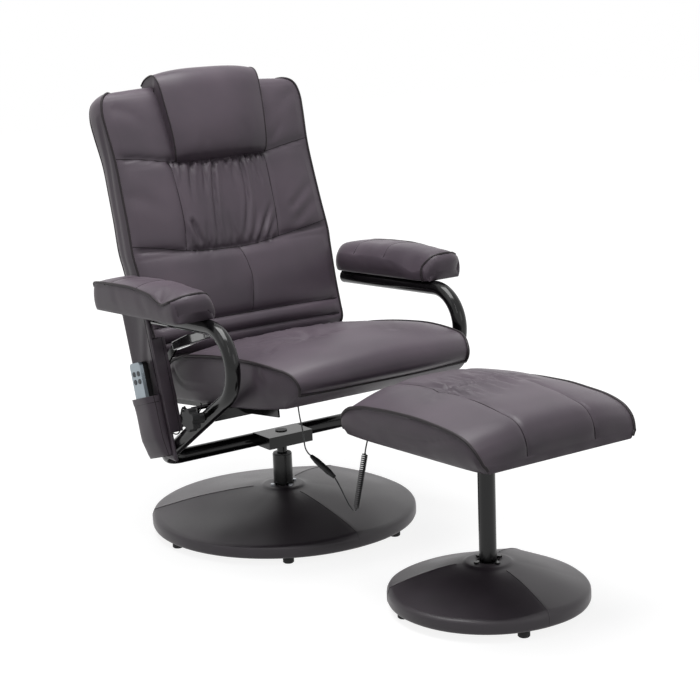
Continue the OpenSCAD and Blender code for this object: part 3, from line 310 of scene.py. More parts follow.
# Printed PU leatherette, near black on the bases. Its grain is drawn at 1.6 mm, coarser than the
# real 0.8 mm, so that it shows, and it gives a broken dull shine.
base_leather = leatherette("black_brown_pu_leatherette", "322c32", "3f383f", 0.38, polish=0.5)
seam_thread = clouded("bonded_nylon_thread", "1a1619", "231e21", 0.7, 0.8, 0.05, **{
    "Specular IOR Level": 0.2})
# Birch plywood, sanded and unfinished: pale, with soft darker clouds.
plywood = clouded("sanded_birch_plywood", "b08d63", "c6a67c", 0.6, 1.0, 0.2)
# Moulded black rubber: a dull dark foot with a faint grain.
foot_rubber = clouded("moulded_black_rubber", "141414", "1c1c1d", 0.7, 0.9, 0.1)


def coat(material, *names):
    for name in names:
        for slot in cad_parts[name].material_slots:
            slot.material = material


def turned_in(material, name, node, body, centre, radius, seam_turns):
    """A cone cover with raised seams: rings go from the post out, over the rim and in under it."""
    neck_r, neck_z, fall, rim_z = 0.054, 0.0882, 0.0472, 0.0405
    tent_high, tent_reach, seam_from_r = 0.0115, 0.075, 0.053
    # Millimetres: radius and height round the post's collar, then inset and height round the rim.
    collar = [(22.8, 92.3), (23.1, 93.2), (24.8, 93.6), (35, 93.6), (43.2, 93.5), (46.2, 92.7), (50, 90.6),
              (54, 88.7)]
    rim = [(2.5, 39.8), (0.6, 36.8), (0, 32), (0, 26), (0, 20.5), (1.8, 16.8), (5, 15), (12, 14.6),
           (30, 14.6)]
    profile = [(r / 1000, z / 1000) for r, z in collar]
    reach = radius - 0.005 - neck_r
    profile += [(neck_r + reach * s, neck_z - fall * s) for s in np.linspace(0.06, 1, 22)]
    profile += [(radius - inset / 1000, z / 1000) for inset, z in rim]
    per_panel = 48
    turns = []
    for a, b in zip(seam_turns, seam_turns[1:] + [seam_turns[0] + 360]):
        turns += list(np.linspace(a, b, per_panel + 1)[:-1])
    mesh = bmesh.new()
    rings = []
    for r, z in profile:
        ring = []
        share = min(max((r - seam_from_r) / (radius - seam_from_r), 0), 1)
        for turn in turns:
            q = math.radians(turn)
            off = min(abs((turn - s + 180) % 360 - 180) for s in seam_turns)
            tent = tent_high * math.exp(-math.radians(off) * r / tent_reach)
            tent *= math.sin(math.pi * share * 0.86) ** 0.6
            waver = 0.0006 * math.sin(q * 5 + r * 40) * share
            ring.append(mesh.verts.new((centre[0] + r * math.cos(q), centre[1] + r * math.sin(q),
                                        z + (tent + waver if z > rim_z else tent * 0.2))))
        rings.append(ring)
    join_rings(mesh, rings)
    seams = [[ring[k].co + Vector((0, 0, 0.0003)) for ring in rings[len(collar):-2]]
             for k in range(0, len(turns), per_panel)]
    dress(finish_mesh(name, mesh, material), body, "brown_leather", node)
    dress(tubes(name + "_seams", seams, 0.0011, material, 6), body, "brown_leather")


stool_at = (0.016, post_y - 0.707)
turned_in(base_leather, "base_cover_sewn", "base_cover", "base", (0, post_y), 0.3, [-91, 34, 149])
turned_in(base_leather, "stool_cover_sewn", "stool_cover", "footstool", stool_at, 0.2015, [-95, 30, 150])
coat(plywood, "base_core", "stool_core")
coat(foot_rubber, "base_feet", "stool_feet")

# The posts and the looped frame: welded steel tube and plate in gloss black enamel, with a nylon bush
# that the spindle turns in, zinc-plated nuts and bolts, and moulded caps in the tubes' ends.
# Stoved enamel over steel: smooth, near mirror black that draws long white lines along a tube.
enamel = clouded("gloss_black_enamel", "070708", "0b0b0c", 0.16, 2.5, 0.02, **{
    "Specular IOR Level": 0.32, "Coat Weight": 0.08, "Coat Roughness": 0.06})
# Zinc plate, tumbled: a cool grey metal with a blurred shine.
zinc_plate = clouded("tumbled_zinc_plate", "a9adb2", "c3c6ca", 0.34, 1.0, 0.05, Metallic=1.0)
# Moulded glass-filled nylon, black: satin, with a faint haze.
black_nylon = clouded("black_moulded_nylon", "19191a", "222224", 0.45, 0.9, 0.06)
# ABS from a spark-eroded mould: black with an even fine texture that kills the shine.
black_abs = clouded("textured_black_abs", "111112", "19191b", 0.45, 0.9, 0.12, **{
    "Specular IOR Level": 0.3})
coat(enamel, "post_sleeve", "swivel_spindle", "hub_box", "frame_tube_right", "frame_tube_left",
     "front_crossbar", "seat_rails", "seat_straps", "back_brackets", "lever_arm", "stool_post")
coat(zinc_plate, "base_nuts", "crossbar_inserts", "crossbar_bolt", "hinge_pins", "friction_discs",
     "knob_stud", "arm_screws", "seat_motors", "back_motors")
coat(black_nylon, "swivel_bush")
coat(black_abs, "frame_caps", "control_box", "dc_inlet", "cord_glands", "stool_gland", "clamp_knob",
     "link_socket", "link_plug", "handset_back")
coat(plywood, "seat_board", "back_board", "stool_board")
# Birch plywood coloured near black as painted shade, since the arm boards' edges show under the pads, where
# shade falls: flat and dark.
board_painted_shade = clouded("plywood_painted_shade_black", "141213", "1d1a1b", 0.75, 1.0, 0.2)
coat(board_painted_shade, "arm_boards")

# The seat cushion: thick foam on a plywood board, in plum leatherette. It rises to a soft roll at the
# front, three tufts are sewn deep near the back, and a welt runs all round in a long S.
# Printed PU leatherette in plum brown, rolled soft over foam: low polish, and a faint pale bloom
# where it turns away.
plum_leather = leatherette("plum_brown_pu_leatherette", "4b434b", "594f58", 0.42)
# Piping: the same film, with painted shade making it darker than the cushions to stand in for the shade
# along the piping, folded over a 5 mm cord, so it shows a thin line of light.
welt_leather_painted_shade = leatherette("piped_pu_leatherette_painted_shade", "231e21", "2b2529", 0.46, 1.2, 0.2, 0.25)


def pressed(x, y, strokes):
    """Height of folds and sewn grooves. Each is a line of points, a depth and a width, in
    millimetres, and the share of its depth by which its lips rise."""
    total = np.zeros_like(x)
    for points, depth, width, lip in strokes:
        p = fine_rows(points, 5) / 1000
        depth, width = depth / 1000, width / 1000
        near = np.full_like(x, 1e9)
        share = np.zeros_like(x)
        spans = np.hypot(*(p[1:] - p[:-1]).T)
        run = np.concatenate([[0], np.cumsum(spans)])
        for (ax, ay), (bx, by), at, span in zip(p, p[1:], run, spans):
            t = np.clip(((x - ax) * (bx - ax) + (y - ay) * (by - ay)) / max(span * span, 1e-12), 0, 1)
            gap = np.hypot(x - ax - t * (bx - ax), y - ay - t * (by - ay))
            closer = gap < near
            near = np.where(closer, gap, near)
            share = np.where(closer, (at + t * span) / run[-1], share)
        fade = (1 - share ** 2.2) * np.clip(share * 9 + 0.45, 0, 1) if lip else 1.0
        total -= depth * fade * np.exp(-(near / width) ** 2)
        total += depth * lip * fade * np.exp(-((near - 2.1 * width) / (1.1 * width)) ** 2)
    return total


def side_folds(p, side, beyond, strokes):
    """Folds on a cushion's sides, where they lie further than this from its middle line."""
    on_side = (side > 0) & (side < 1) & (np.abs(p[:, 0]) > beyond)
    return np.where(on_side, pressed(p[:, 1], p[:, 2], strokes), 0)


def ripple(x, y, size, seed):
    """Smooth unevenness between about -1 and 1, from a few fixed waves."""
    rng = np.random.default_rng(seed)
    total = np.zeros_like(x)
    for _ in range(7):
        turn, phase, scale = rng.uniform(0, np.pi), rng.uniform(0, 6.28), rng.uniform(0.7, 1.6)
        total += np.sin((x * np.cos(turn) + y * np.sin(turn)) * 6.28 / (size * scale) + phase)
    return total / 4


def grid_rim(m, n):
    """The places round the edge of a grid with the last row m and the last column n."""
    return ([(0, i) for i in range(n)] + [(j, n) for j in range(m)]
            + [(m, i) for i in range(n, 0, -1)] + [(j, 0) for j in range(m, 0, -1)])


class Cushion:
    """A sewn skin over foam, in its own frame: rows run along it, and each gives the edge's place,
    the middle's place, the half width and the underside's place. Rings then go down its sides."""

    def __init__(self, rows, power, across, steps, base, lips=(), rings=9, bulge=0.006, drop=None):
        rows = fine_rows(rows, steps)
        self.rows = rows
        self.nv, self.nu = len(rows) - 1, across
        u = np.sin(np.linspace(-np.pi / 2, np.pi / 2, across + 1))
        w = 1 - np.abs(u) ** power
        ey, ez, my, mz, hw = (rows[:, k][:, None] for k in range(5))
        v = np.linspace(0, 1, self.nv + 1)[:, None]
        top = np.stack([hw * u, ey + (my - ey) * w, ez + (mz - ez) * w], -1)
        if drop is not None:
            top[..., 2] -= drop(u[None, :], v)
        self.fade = (np.clip(w * 5, 0, 1) * np.clip(v * 12, 0, 1) * np.clip((1 - v) * 12, 0, 1)).ravel()
        self.loop = grid_rim(self.nv, across)
        rows_at, cols_at = np.array(self.loop).T
        edge = top[rows_at, cols_at]
        uu, vv = u[cols_at], rows_at / self.nv * 2 - 1
        out = np.stack([np.sign(uu) * np.abs(uu) ** 6, np.sign(vv) * np.abs(vv) ** 12, 0 * uu], -1)
        out /= np.linalg.norm(out, axis=1)[:, None]
        low = base(edge, rows[rows_at], uu)
        swell = bulge * np.clip((edge[:, 2:] - low[:, 2:] - 0.012) / 0.03, 0, 1)
        made = [edge + (low - edge) * t + out * np.sin(np.pi * t) ** 0.8 * swell
                for t in np.linspace(0, 1, rings + 1)[1:]]
        for inset, rise in lips:
            inner = low + (low.mean(0) - low) * inset
            inner[:, 2] = low[:, 2] + rise
            made.append(inner)
        self.side_rings, self.rings = rings, len(made)
        self.count = top.shape[0] * top.shape[1]
        self.points = np.concatenate([top.reshape(-1, 3)] + made)
        self.side = np.concatenate([np.zeros(self.count)] + [
            np.full(len(edge), min(k / rings, 2)) for k in range(1, len(made) + 1)])
        self.fade = np.pad(self.fade, (0, len(self.points) - self.count))

    def index(self, ring, m):
        m %= len(self.loop)
        if ring == 0:
            j, i = self.loop[m]
            return j * (self.nu + 1) + i
        return self.count + (ring - 1) * len(self.loop) + m

    def faces(self):
        a = self.nu + 1
        made = [(j * a + i, j * a + i + 1, (j + 1) * a + i + 1, (j + 1) * a + i)
                for j in range(self.nv) for i in range(self.nu)]
        for k in range(self.rings):
            made += [(self.index(k, m), self.index(k + 1, m), self.index(k + 1, m + 1),
                      self.index(k, m + 1)) for m in range(len(self.loop))]
        made.append(tuple(self.index(self.rings, m) for m in range(len(self.loop))))
        return made

    def press(self, relief):
        """Moves every point along the skin's normal, by relief(points, side, fade)."""
        data = bpy.data.meshes.new("press")
        data.from_pydata(self.points.tolist(), [], self.faces())
        data.update()
        normals = np.zeros(len(self.points) * 3)
        data.vertices.foreach_get("normal", normals)
        bpy.data.meshes.remove(data)
        height = relief(self.points, self.side, self.fade)
        self.points = self.points + normals.reshape(-1, 3) * height[:, None]

    def spot(self, x_mm, row):
        """The skin's point this far from its middle line, on this fine row."""
        j = min(int(max(row, 0)), self.nv - 1)
        b = min(row - j, 1)
        width = self.rows[j, 4] * (1 - b) + self.rows[j + 1, 4] * b
        i = (math.asin(max(-1, min(1, x_mm / 1000 / width))) / math.pi + 0.5) * self.nu
        k = min(int(i), self.nu - 1)
        a = i - k
        p = self.points[:self.count].reshape(self.nv + 1, self.nu + 1, 3)
        return ((p[j, k] * (1 - a) + p[j, k + 1] * a) * (1 - b)
                + (p[j + 1, k] * (1 - a) + p[j + 1, k + 1] * a) * b)

    def seam(self, points, steps=9):
        """The line on the skin along these points, in millimetres."""
        first = int(np.argmin(self.rows[:self.nv // 2, 2]))
        y = self.rows[first:, 2]
        return [self.spot(px, first + float(np.interp(py / 1000, y, np.arange(len(y)))))
                for px, py in fine_rows(points, steps)]

    def edge(self, side, first=0, last=None, out=0.0, up=0.0):
        """One side's edge, from front to rear: side is -1 or 1."""
        col = 0 if side < 0 else self.nu
        span = range(first, self.nv + 1 if last is None else last + 1)
        return [self.points[j * (self.nu + 1) + col] + (side * out, 0, up) for j in span]

    def whole_edge(self, out):
        """The edge all round, held off by out."""
        edge = self.points[[self.index(0, m) for m in range(len(self.loop))]]
        away = (edge - self.points[:self.count].mean(0)) * (1, 1, 0)
        return list(edge + away / np.linalg.norm(away, axis=1)[:, None] * out)

    def foot(self, side):
        """The line where one side's foot ends, from front to rear."""
        start = self.nu if side > 0 else len(self.loop) - self.nv
        line = [self.points[self.index(self.side_rings, start + k)] for k in range(self.nv + 1)]
        return line if side > 0 else line[::-1]

    def down(self, m, first=0, last=None, out=0.0):
        """The line down the side from the loop's point m."""
        last = self.side_rings if last is None else last
        sign = np.sign(self.points[self.index(0, m), 0])
        return [self.points[self.index(k, m)] + (sign * out, 0, 0) for k in range(first, last + 1)]

    def build(self, name, place, material):
        mesh = bmesh.new()
        verts = [mesh.verts.new(place @ Vector(p)) for p in self.points]
        for face in self.faces():
            mesh.faces.new([verts[k] for k in face])
        return finish_mesh(name, mesh, material)


def tilted(spot, turn):
    """Where a piece stands: at this spot, turned about X by this angle."""
    return Matrix.Translation(spot) @ Matrix.Rotation(turn, 4, "X")


def upholster(skin, name, place, body, node):
    made = skin.build(name, place, plum_leather)
    dress(made, body, "padded_leather", node)


def sew(name, lines, place, body, width, material=seam_thread, closed=False):
    """Thread, or piping where the material is given, along lines in the cushion's own frame."""
    lines = [[place @ Vector(p) for p in line] for line in lines]
    made = tubes(name, lines, width, material, 6 if material == seam_thread else 8, closed)
    dress(made, body, "padded_leather")


seat_tilt = math.radians(6.8)
seat_half_w, seat_half_l, seat_crown = 0.25, 0.258, 0.126
# The frame's run rises at 33.5 degrees from 0.2 m up. The cross tube lies on it, 212 mm further on
# as seen from above, and the seat's underside is 13 mm above the tube's middle.
bar_z = 0.2 + 0.212 * math.tan(math.radians(33.5))
seat_y, seat_z = post_y - 0.184, bar_z + 0.013
seat_place = tilted((0, seat_y, seat_z), -seat_tilt)
# Shares, row by row from front to rear: the edge's y and z, the middle's y and z, the half width,
# and how far back the underside is.
seat_shares = [
    (-0.872, 0.246, -0.9, 0.238, 0.848, 0), (-0.899, 0.333, -1, 0.325, 0.856, 0.01),
    (-0.899, 0.444, -1.014, 0.46, 0.868, 0.022), (-0.86, 0.556, -0.992, 0.62, 0.888, 0.04),
    (-0.806, 0.627, -0.93, 0.762, 0.912, 0.064), (-0.717, 0.683, -0.795, 0.889, 0.944, 0.102),
    (-0.581, 0.738, -0.62, 0.96, 0.968, 0.162), (-0.388, 0.786, -0.388, 1, 0.988, 0.256),
    (-0.155, 0.817, -0.155, 1, 1, 0.364), (0.116, 0.825, 0.116, 0.984, 1, 0.506),
    (0.388, 0.81, 0.388, 0.952, 0.996, 0.66), (0.62, 0.778, 0.62, 0.905, 0.984, 0.792),
    (0.795, 0.714, 0.814, 0.817, 0.972, 0.9), (0.911, 0.635, 0.93, 0.714, 0.964, 0.96),
    (0.969, 0.556, 0.992, 0.571, 0.96, 1)]


def row_sizes(shares, length, height, half_w):
    return [(a * length, b * height, c * length, d * height, e * half_w, f) for a, b, c, d, e, f in shares]


seat_under_y, seat_under_l = -0.172, 0.419


def seat_base(edge, rows, u):
    return np.stack([edge[:, 0], seat_under_y + rows[:, 5] * seat_under_l, 0 * u], -1)


seat = Cushion(row_sizes(seat_shares, seat_half_l, seat_crown, seat_half_w), 2.4, 130, 10, seat_base,
               [(0.06, -0.0005), (0.12, 0.0)], rings=14, bulge=0.01)
# Lines on the skin, here and below, are in millimetres in the cushion's own frame. First slack folds,
# then the tuft near the front with the creases that run from it, then the three tufts at the rear.
seat_folds = [
    ([(-200, -110), (-165, -75), (-110, -50)], 2.2, 8, 0.5),
    ([(80, -160), (130, -70), (175, -30)], 2, 10, 0.5),
    ([(-170, 0), (-115, 55), (-75, 120)], 2.2, 10, 0.5),
    ([(60, 120), (110, 60), (165, 30)], 2.2, 10, 0.5),
    ([(-215, 120), (-170, 142), (-135, 150)], 2.6, 6, 0.5),
    ([(215, 120), (170, 142), (135, 150)], 2.6, 6, 0.5),
    ([(-90, -64), (-38, -56)], 8, 34, 0),
    ([(-74, -61), (-54, -59)], 9, 7, 0.1),
    ([(-64, -52), (-77, 12), (-68, 112)], 4.6, 11, 0.4),
    ([(-58, -54), (-20, 20), (42, 102)], 4.2, 11, 0.4),
    ([(-70, -54), (-112, -18), (-162, 30)], 4, 9, 0.4),
    ([(-58, -64), (-28, -82), (6, -98)], 3.4, 7, 0.4),
    ([(-70, -64), (-100, -84), (-132, -104)], 3.4, 7, 0.4),
    ([(-62, -70), (-58, -92), (-62, -116)], 2.6, 6, 0.4)]
tuft_y, tuft_r = 150, 8
for tuft_x in (-125, 0, 125):
    seat_folds.append(([(tuft_x - tuft_r, tuft_y), (tuft_x + tuft_r, tuft_y)], 10, 8, 0.1))
    for turn, reach in [(4, 55), (38, 40), (75, 35), (118, 36), (150, 42), (184, 55), (212, 60),
                        (247, 48), (285, 50), (322, 60)]:
        q = math.radians(turn + tuft_x * 0.12)
        seat_folds.append(([(tuft_x + tuft_r * math.cos(q), tuft_y + tuft_r * math.sin(q)),
                            (tuft_x + reach * math.cos(q), tuft_y + reach * 0.85 * math.sin(q))],
                           4.0, 4.6, 0.4))


def seat_relief(p, side, fade):
    lift = pressed(p[:, 0], p[:, 1], seat_folds) * fade
    creases = side_folds(p, side, 0.19, [
        ([(215, 72), (165, 40), (80, 36), (-70, 36)], 2.6, 3.5, 0.3),
        ([(-130, 85), (-150, 50), (-150, 15)], 2, 8, 0.5)])
    slack = 0.001 * ripple(p[:, 0], p[:, 1] + p[:, 2], 0.16, 3) * (side < 1)
    return lift + creases + slack


seat.press(seat_relief)
upholster(seat, "seat_cushion_skin", seat_place, "frame", "seat_cushion")
tuft_line = seat.seam([(-74, -61), (-64, -62), (-54, -59)], 4)
sew("seat_tuft", [[p + (0, 0, 0.0016) for p in tuft_line]], seat_place, "frame", 0.0034)
sew("seat_welt", [seat.whole_edge(0.0014)], seat_place, "frame", 0.0064, welt_leather_painted_shade, True)

# The arm pads: a board screwed to each arm tube, under a foam pad. Piping follows the pad's outer
# edge, dips where the sewn corner pulls, and arches over the front end; the inner side rolls down.
arm_x, arm_l, arm_half_w, arm_high = 0.293, 0.358, 0.0505, 0.088
# The pad's middle lies this far outside its tube, and its underside this far above the tube's line.
pad_out, pad_under_z = 0.0275, 0.0161
arm_fall = math.radians(3)
# The tube's front bend: its middle and its radius. The arm's line starts at the top of the bend.
bend_y, bend_z, bend_r = -0.207197, 0.45161, 0.08
arm_yz = (bend_y + bend_r * math.sin(arm_fall), bend_z + bend_r * math.cos(arm_fall))
arm_shares = [
    (0.012, 0.38, -0.032, 0.43, 0.79, 0), (0.014, 0.62, -0.026, 0.72, 0.91, 0.016),
    (0.05, 0.7, 0.022, 0.886, 0.97, 0.045), (0.14, 0.61, 0.126, 0.955, 1, 0.13),
    (0.21, 0.7, 0.21, 0.978, 1, 0.205), (0.279, 0.8, 0.279, 0.989, 1, 0.275),
    (0.475, 0.898, 0.475, 1, 1, 0.475), (0.67, 0.909, 0.67, 0.989, 1, 0.675),
    (0.838, 0.898, 0.838, 0.966, 1, 0.85), (0.936, 0.875, 0.944, 0.909, 0.99, 0.945),
    (0.978, 0.818, 0.992, 0.818, 0.91, 0.985), (0.983, 0.682, 1, 0.659, 0.83, 1)]


def arm_base(edge, rows, u):
    return np.stack([edge[:, 0] * 0.97, rows[:, 5] * arm_l, 0 * u + pad_under_z], -1)


def inner_roll(u, v):
    return 0.02 * np.clip(-u - 0.45, 0, 1) ** 2 / 0.3025 * (v > 0)


def arm_relief(p, side, fade):
    rear, front = [(-51, 160), (50, 160)], [(-51, 276), (50, 276)]
    lift = pressed(p[:, 0], p[:, 1], [
        (rear, 1.6, 2.2, 0), (rear, 1.6, 14, 0), (front, 1.4, 2.2, 0), (front, 1.4, 14, 0),
        ([(50, 58), (36, 70), (22, 92)], 2.6, 9, 0.3),
        ([(-20, 200), (10, 230), (40, 240)], 1, 12, 0.4)]) * np.clip(fade + 0.25, 0, 1)
    creases = side_folds(p, side, -1, [
        ([(140, 60), (120, 38), (126, 22)], 0.9, 10, 0.5),
        ([(250, 66), (235, 40), (240, 22)], 0.7, 10, 0.5)])
    slack = 0.0007 * ripple(p[:, 0] + p[:, 2], p[:, 1], 0.13, 8) * (side < 1)
    return np.where(side == 0, lift, 0) + creases + slack


for arm_side, arm_name in ((-1, "right"), (1, "left")):
    arm_place = tilted((arm_side * arm_x, post_y + arm_yz[0], arm_yz[1]), -arm_fall) @ Matrix.Diagonal(
        (arm_side, 1, 1, 1)) @ Matrix.Translation((pad_out, 0, 0))
    arm = Cushion(row_sizes(arm_shares, arm_l, arm_high, arm_half_w), 2.4, 64, 10, arm_base, [(0.1, 0.0)],
                  rings=10, bulge=0.004, drop=inner_roll)
    arm.press(arm_relief)
    upholster(arm, "arm_pad_skin_" + arm_name, arm_place, "frame", "arm_pad_" + arm_name)
    arch = [arm.spot(x, row) for x, row in [(49, 21), (42, 18), (30, 17), (10, 16), (-10, 16), (-28, 17),
                                            (-40, 19), (-46, 21)]]
    corner = arm.down(len(arm.loop) - 20, 1, 10, 0.001)
    outer = arm.edge(1, 22, arm.nv - 4, 0.001)[::-1]
    sew("arm_pad_piping_" + arm_name, [outer + arch + corner], arm_place, "frame", 0.0058, welt_leather_painted_shade)
    sew("arm_pad_seams_" + arm_name, [arm.seam([(-50, y), (49, y)], 14) for y in (160, 276)],
        arm_place, "frame", 0.0011)

# The back: a board on two hinged brackets, under a crowned front of sewn panels over foam. Its middle
# panel is gathered under the headrest, and two narrow channels cross it above the seat.
back_lean = math.radians(17.7)
hinge_back, hinge_up = 0.295, 0.026
hinge_y = seat_y + hinge_back * math.cos(seat_tilt) + hinge_up * math.sin(seat_tilt)
hinge_z = seat_z - hinge_back * math.sin(seat_tilt) + hinge_up * math.cos(seat_tilt)
back_place = tilted((0, hinge_y, hinge_z), math.pi / 2 - back_lean)
back_l, back_half_w, back_edge_z, back_crown = 0.664, 0.264, 0.037, 0.028
back_shares = [
    (0.087, 0.32, 0.084, 0.02, 0.9, 0), (0.1, 0.78, 0.096, 0.3, 0.93, 0.012),
    (0.121, 1, 0.121, 0.6, 0.942, 0.036), (0.163, 1, 0.163, 0.74, 0.947, 0.1),
    (0.22, 1, 0.22, 0.86, 0.952, 0.175), (0.3, 1, 0.3, 1, 0.96, 0.265),
    (0.38, 1, 0.37, 0.98, 0.972, 0.35), (0.44, 1, 0.42, 0.9, 0.983, 0.42),
    (0.55, 1, 0.54, 0.96, 0.97, 0.53), (0.66, 1, 0.66, 0.94, 0.964, 0.64),
    (0.765, 1, 0.765, 0.9, 0.962, 0.745), (0.87, 1, 0.87, 0.84, 0.985, 0.855),
    (0.912, 1, 0.915, 0.75, 0.992, 0.905), (0.945, 0.99, 0.95, 0.62, 0.982, 0.94),
    (0.966, 0.95, 0.973, 0.44, 0.962, 0.964), (0.98, 0.86, 0.988, 0.12, 0.928, 0.981),
    (0.989, 0.66, 0.998, -0.3, 0.88, 0.993), (0.991, 0.36, 1.001, -0.85, 0.835, 1)]
back_rows = [(a * back_l, b * back_edge_z, c * back_l, back_edge_z + d * back_crown, e * back_half_w, f)
             for a, b, c, d, e, f in back_shares]


back_foot, back_under_z = 0.055, -0.0255


def back_base(edge, rows, u):
    return np.stack([edge[:, 0], back_foot + rows[:, 5] * (back_l - back_foot), 0 * u + back_under_z], -1)


back = Cushion(back_rows, 2.6, 168, 11, back_base, [(0.05, 0.0)], rings=10, bulge=0.004)
seam_one = [(-258, 507), (-200, 499), (-135, 486), (-73, 481), (39, 480),
            (113, 483), (180, 495), (258, 509)]
seam_two = [(-258, 296), (-200, 290), (-140, 280), (-70, 275), (0, 273),
            (55, 276), (110, 283), (180, 290), (258, 297)]
panel_left = [(-131, 485), (-127, 430), (-127, 340), (-134, 279)]
panel_right = [(118, 484), (116, 420), (114, 340), (111, 283)]
middle_seam = [(0, 272), (7, 243), (12, 207), (9, 172), (2, 126)]
low_seams = [[(-246, 122), (246, 122)], [(-244, 86), (244, 86)]]
back_strokes = []
for seam_line in [seam_one, seam_two, *low_seams]:
    back_strokes += [(seam_line, 4.2, 3.8, 0), (seam_line, 3.5, 14, 0)]
back_strokes += [
    (panel_left[:-1] + [(-132, 291)], 5, 3.6, 0),
    (panel_left[:-1] + [(-131, 298)], 3, 12, 0),
    (panel_right[:-1] + [(111, 294)], 3, 3, 0),
    (panel_right[:-1] + [(111, 300)], 1.5, 10, 0),
    (middle_seam, 2.2, 3, 0), (middle_seam, 1.4, 12, 0),
    ([(160, 345), (195, 372), (244, 412)], 2.6, 9, 0.5),
    ([(165, 312), (205, 340), (250, 366)], 2.8, 10, 0.5),
    ([(138, 505), (160, 522), (184, 552)], 2.2, 9, 0.5),
    ([(-245, 420), (-200, 400), (-150, 360)], 1.4, 16, 0.4),
    ([(-240, 620), (-200, 600), (-165, 560)], 1.4, 14, 0.4),
    ([(245, 620), (205, 600), (165, 560)], 1.6, 14, 0.4),
    ([(-90, 262), (-86, 230), (-92, 190)], 1.4, 14, 0.4)]
# Long folds of the gathered panel, then the short pleats that hang from its top seam and stand on
# its lower one. Their lips rise by nearly half their depth.
gather_lip = 0.45
gathers = [(line, depth, width, gather_lip) for line, depth, width in [
    ([(-24, 478), (-36, 425), (-47, 350), (-50, 305), (-53, 276)], 10.6, 4.5),
    ([(48, 479), (46, 430), (42, 375), (28, 325), (13, 277)], 10.6, 4.5),
    ([(-80, 480), (-93, 428), (-94, 385)], 6.9, 4.5),
    ([(-110, 345), (-102, 312), (-92, 281)], 8.8, 4.5),
    ([(55, 280), (78, 322), (106, 365)], 8.1, 4.5),
    ([(82, 284), (97, 312), (110, 332)], 6.3, 4.2),
    ([(10, 478), (20, 450), (18, 412)], 6.9, 4),
    ([(78, 480), (85, 446), (88, 402)], 6.9, 4),
    ([(-53, 479), (-56, 440), (-64, 398)], 6.9, 4),
    ([(-4, 279), (-12, 320), (-13, 358)], 4.7, 5),
    ([(-78, 279), (-76, 312), (-72, 345)], 4.7, 4.8),
    ([(36, 281), (52, 318), (64, 360)], 3.7, 5)]]
rng = np.random.default_rng(11)
for k in range(18):
    x = -118 + k * 13.2 + rng.uniform(-3, 3)
    fall = rng.uniform(12, 36)
    gathers.append(([(x, 483), (x + rng.uniform(-4, 3), 466), (x + rng.uniform(-9, 4), 466 - fall)],
                    5.6, 3.1, gather_lip))
for k in range(13):
    x = -110 + k * 17.6 + rng.uniform(-4, 4)
    gathers.append(([(x, 277), (x + rng.uniform(-4, 6), 292),
                     (x + rng.uniform(-4, 10), 300 + rng.uniform(0, 14))], 4.2, 3.2, gather_lip))


def back_relief(p, side, fade):
    x, y, z = p.T
    inside = (np.clip((x + 0.131) / 0.006, 0, 1) * np.clip((0.119 - x) / 0.006, 0, 1)
              * np.clip((y - 0.27) / 0.007, 0, 1) * np.clip((0.489 - y) / 0.005, 0, 1))
    lift = pressed(x, y, back_strokes) + inside * pressed(x, y, gathers)
    for low, high, puff in ((0.276, 0.483, 0.004), (0.124, 0.274, 0.0045), (0.086, 0.122, 0.0035),
                            (0.485, 0.64, 0.003)):
        lift = lift + puff * np.sin(np.pi * np.clip((y - low) / (high - low), 0, 1)) ** 0.7
    crease = side_folds(p, side, 0.2, [([(600, 22), (450, 6), (280, 2), (100, 8)], 2.4, 6, 0.4)])
    slack = 0.0009 * ripple(x + z, y, 0.19, 5) * (side < 1)
    return lift * fade + crease + slack


back.press(back_relief)
upholster(back, "back_cushion_skin", back_place, "back", "back_cushion")
# Piping up both sides and along the foot; the top edge is rolled over and has none.
back_edge = back.whole_edge(0.0012)
top_left = 2 * back.nu + back.nv
back_edge = back_edge[top_left - 2:] + back_edge[:back.nu + back.nv + 3]
sew("back_welt", [back_edge], back_place, "back", 0.0056, welt_leather_painted_shade)
back_lines = [seam_one, seam_two, panel_left, panel_right, middle_seam, *low_seams]
sew("back_seams", [back.seam(line) for line in back_lines], back_place, "back", 0.0014)

# The headrest: a foam pad sewn to the back's upper seam, smooth in front and folded over the back's
# top edge. A boxing strip makes its sides, with piping where it meets the front.
head_shares = [
    (0.694, 0.6, 0.691, 0.6, 0.95), (0.701, 0.66, 0.699, 0.72, 0.965), (0.716, 0.72, 0.714, 0.84, 0.98),
    (0.748, 0.78, 0.748, 0.93, 0.99), (0.807, 0.82, 0.807, 0.99, 1.01), (0.879, 0.82, 0.882, 1, 1.04),
    (0.937, 0.8, 0.944, 0.97, 1.06), (0.968, 0.72, 0.98, 0.84, 1.07), (0.983, 0.56, 0.997, 0.6, 1.065),
    (0.986, 0.32, 1, 0.3, 1.05), (0.983, 0.08, 0.994, 0.02, 1.03), (0.974, -0.12, 0.986, -0.18, 1.01)]
head_rows = row_sizes([(*shares, 0) for shares in head_shares], 0.694, 0.1, 0.123)


def head_base(edge, rows, u):
    return np.stack([edge[:, 0] * 0.98, np.minimum(edge[:, 1], 0.65), np.minimum(edge[:, 2], 0.046)], -1)


def head_relief(p, side, fade):
    lift = pressed(p[:, 0], p[:, 1], [
        ([(-60, 490), (-52, 520), (-56, 550)], 1, 10, 0.4),
        ([(50, 492), (60, 520), (52, 560)], 1, 10, 0.4)]) * fade
    return lift + 0.0009 * ripple(p[:, 0], p[:, 1] - p[:, 2], 0.14, 21) * (side < 1)


head = Cushion(head_rows, 3.2, 90, 9, head_base, rings=8, bulge=0.003)
head.press(head_relief)
upholster(head, "headrest_skin", back_place, "back", "headrest_pad")
head_lines = [head.edge(side, 2, None, 0.0002, -0.0004) for side in (-1, 1)]
head_lines += [head.foot(side)[4:70] for side in (-1, 1)]
sew("headrest_piping", head_lines, back_place, "back", 0.0036, welt_leather_painted_shade)

# The back's rear: a leatherette panel tacked over the board, with piping round its edge.
rear_rows = fine_rows([(e, f) for a, b, c, d, e, f in back_shares], 6)


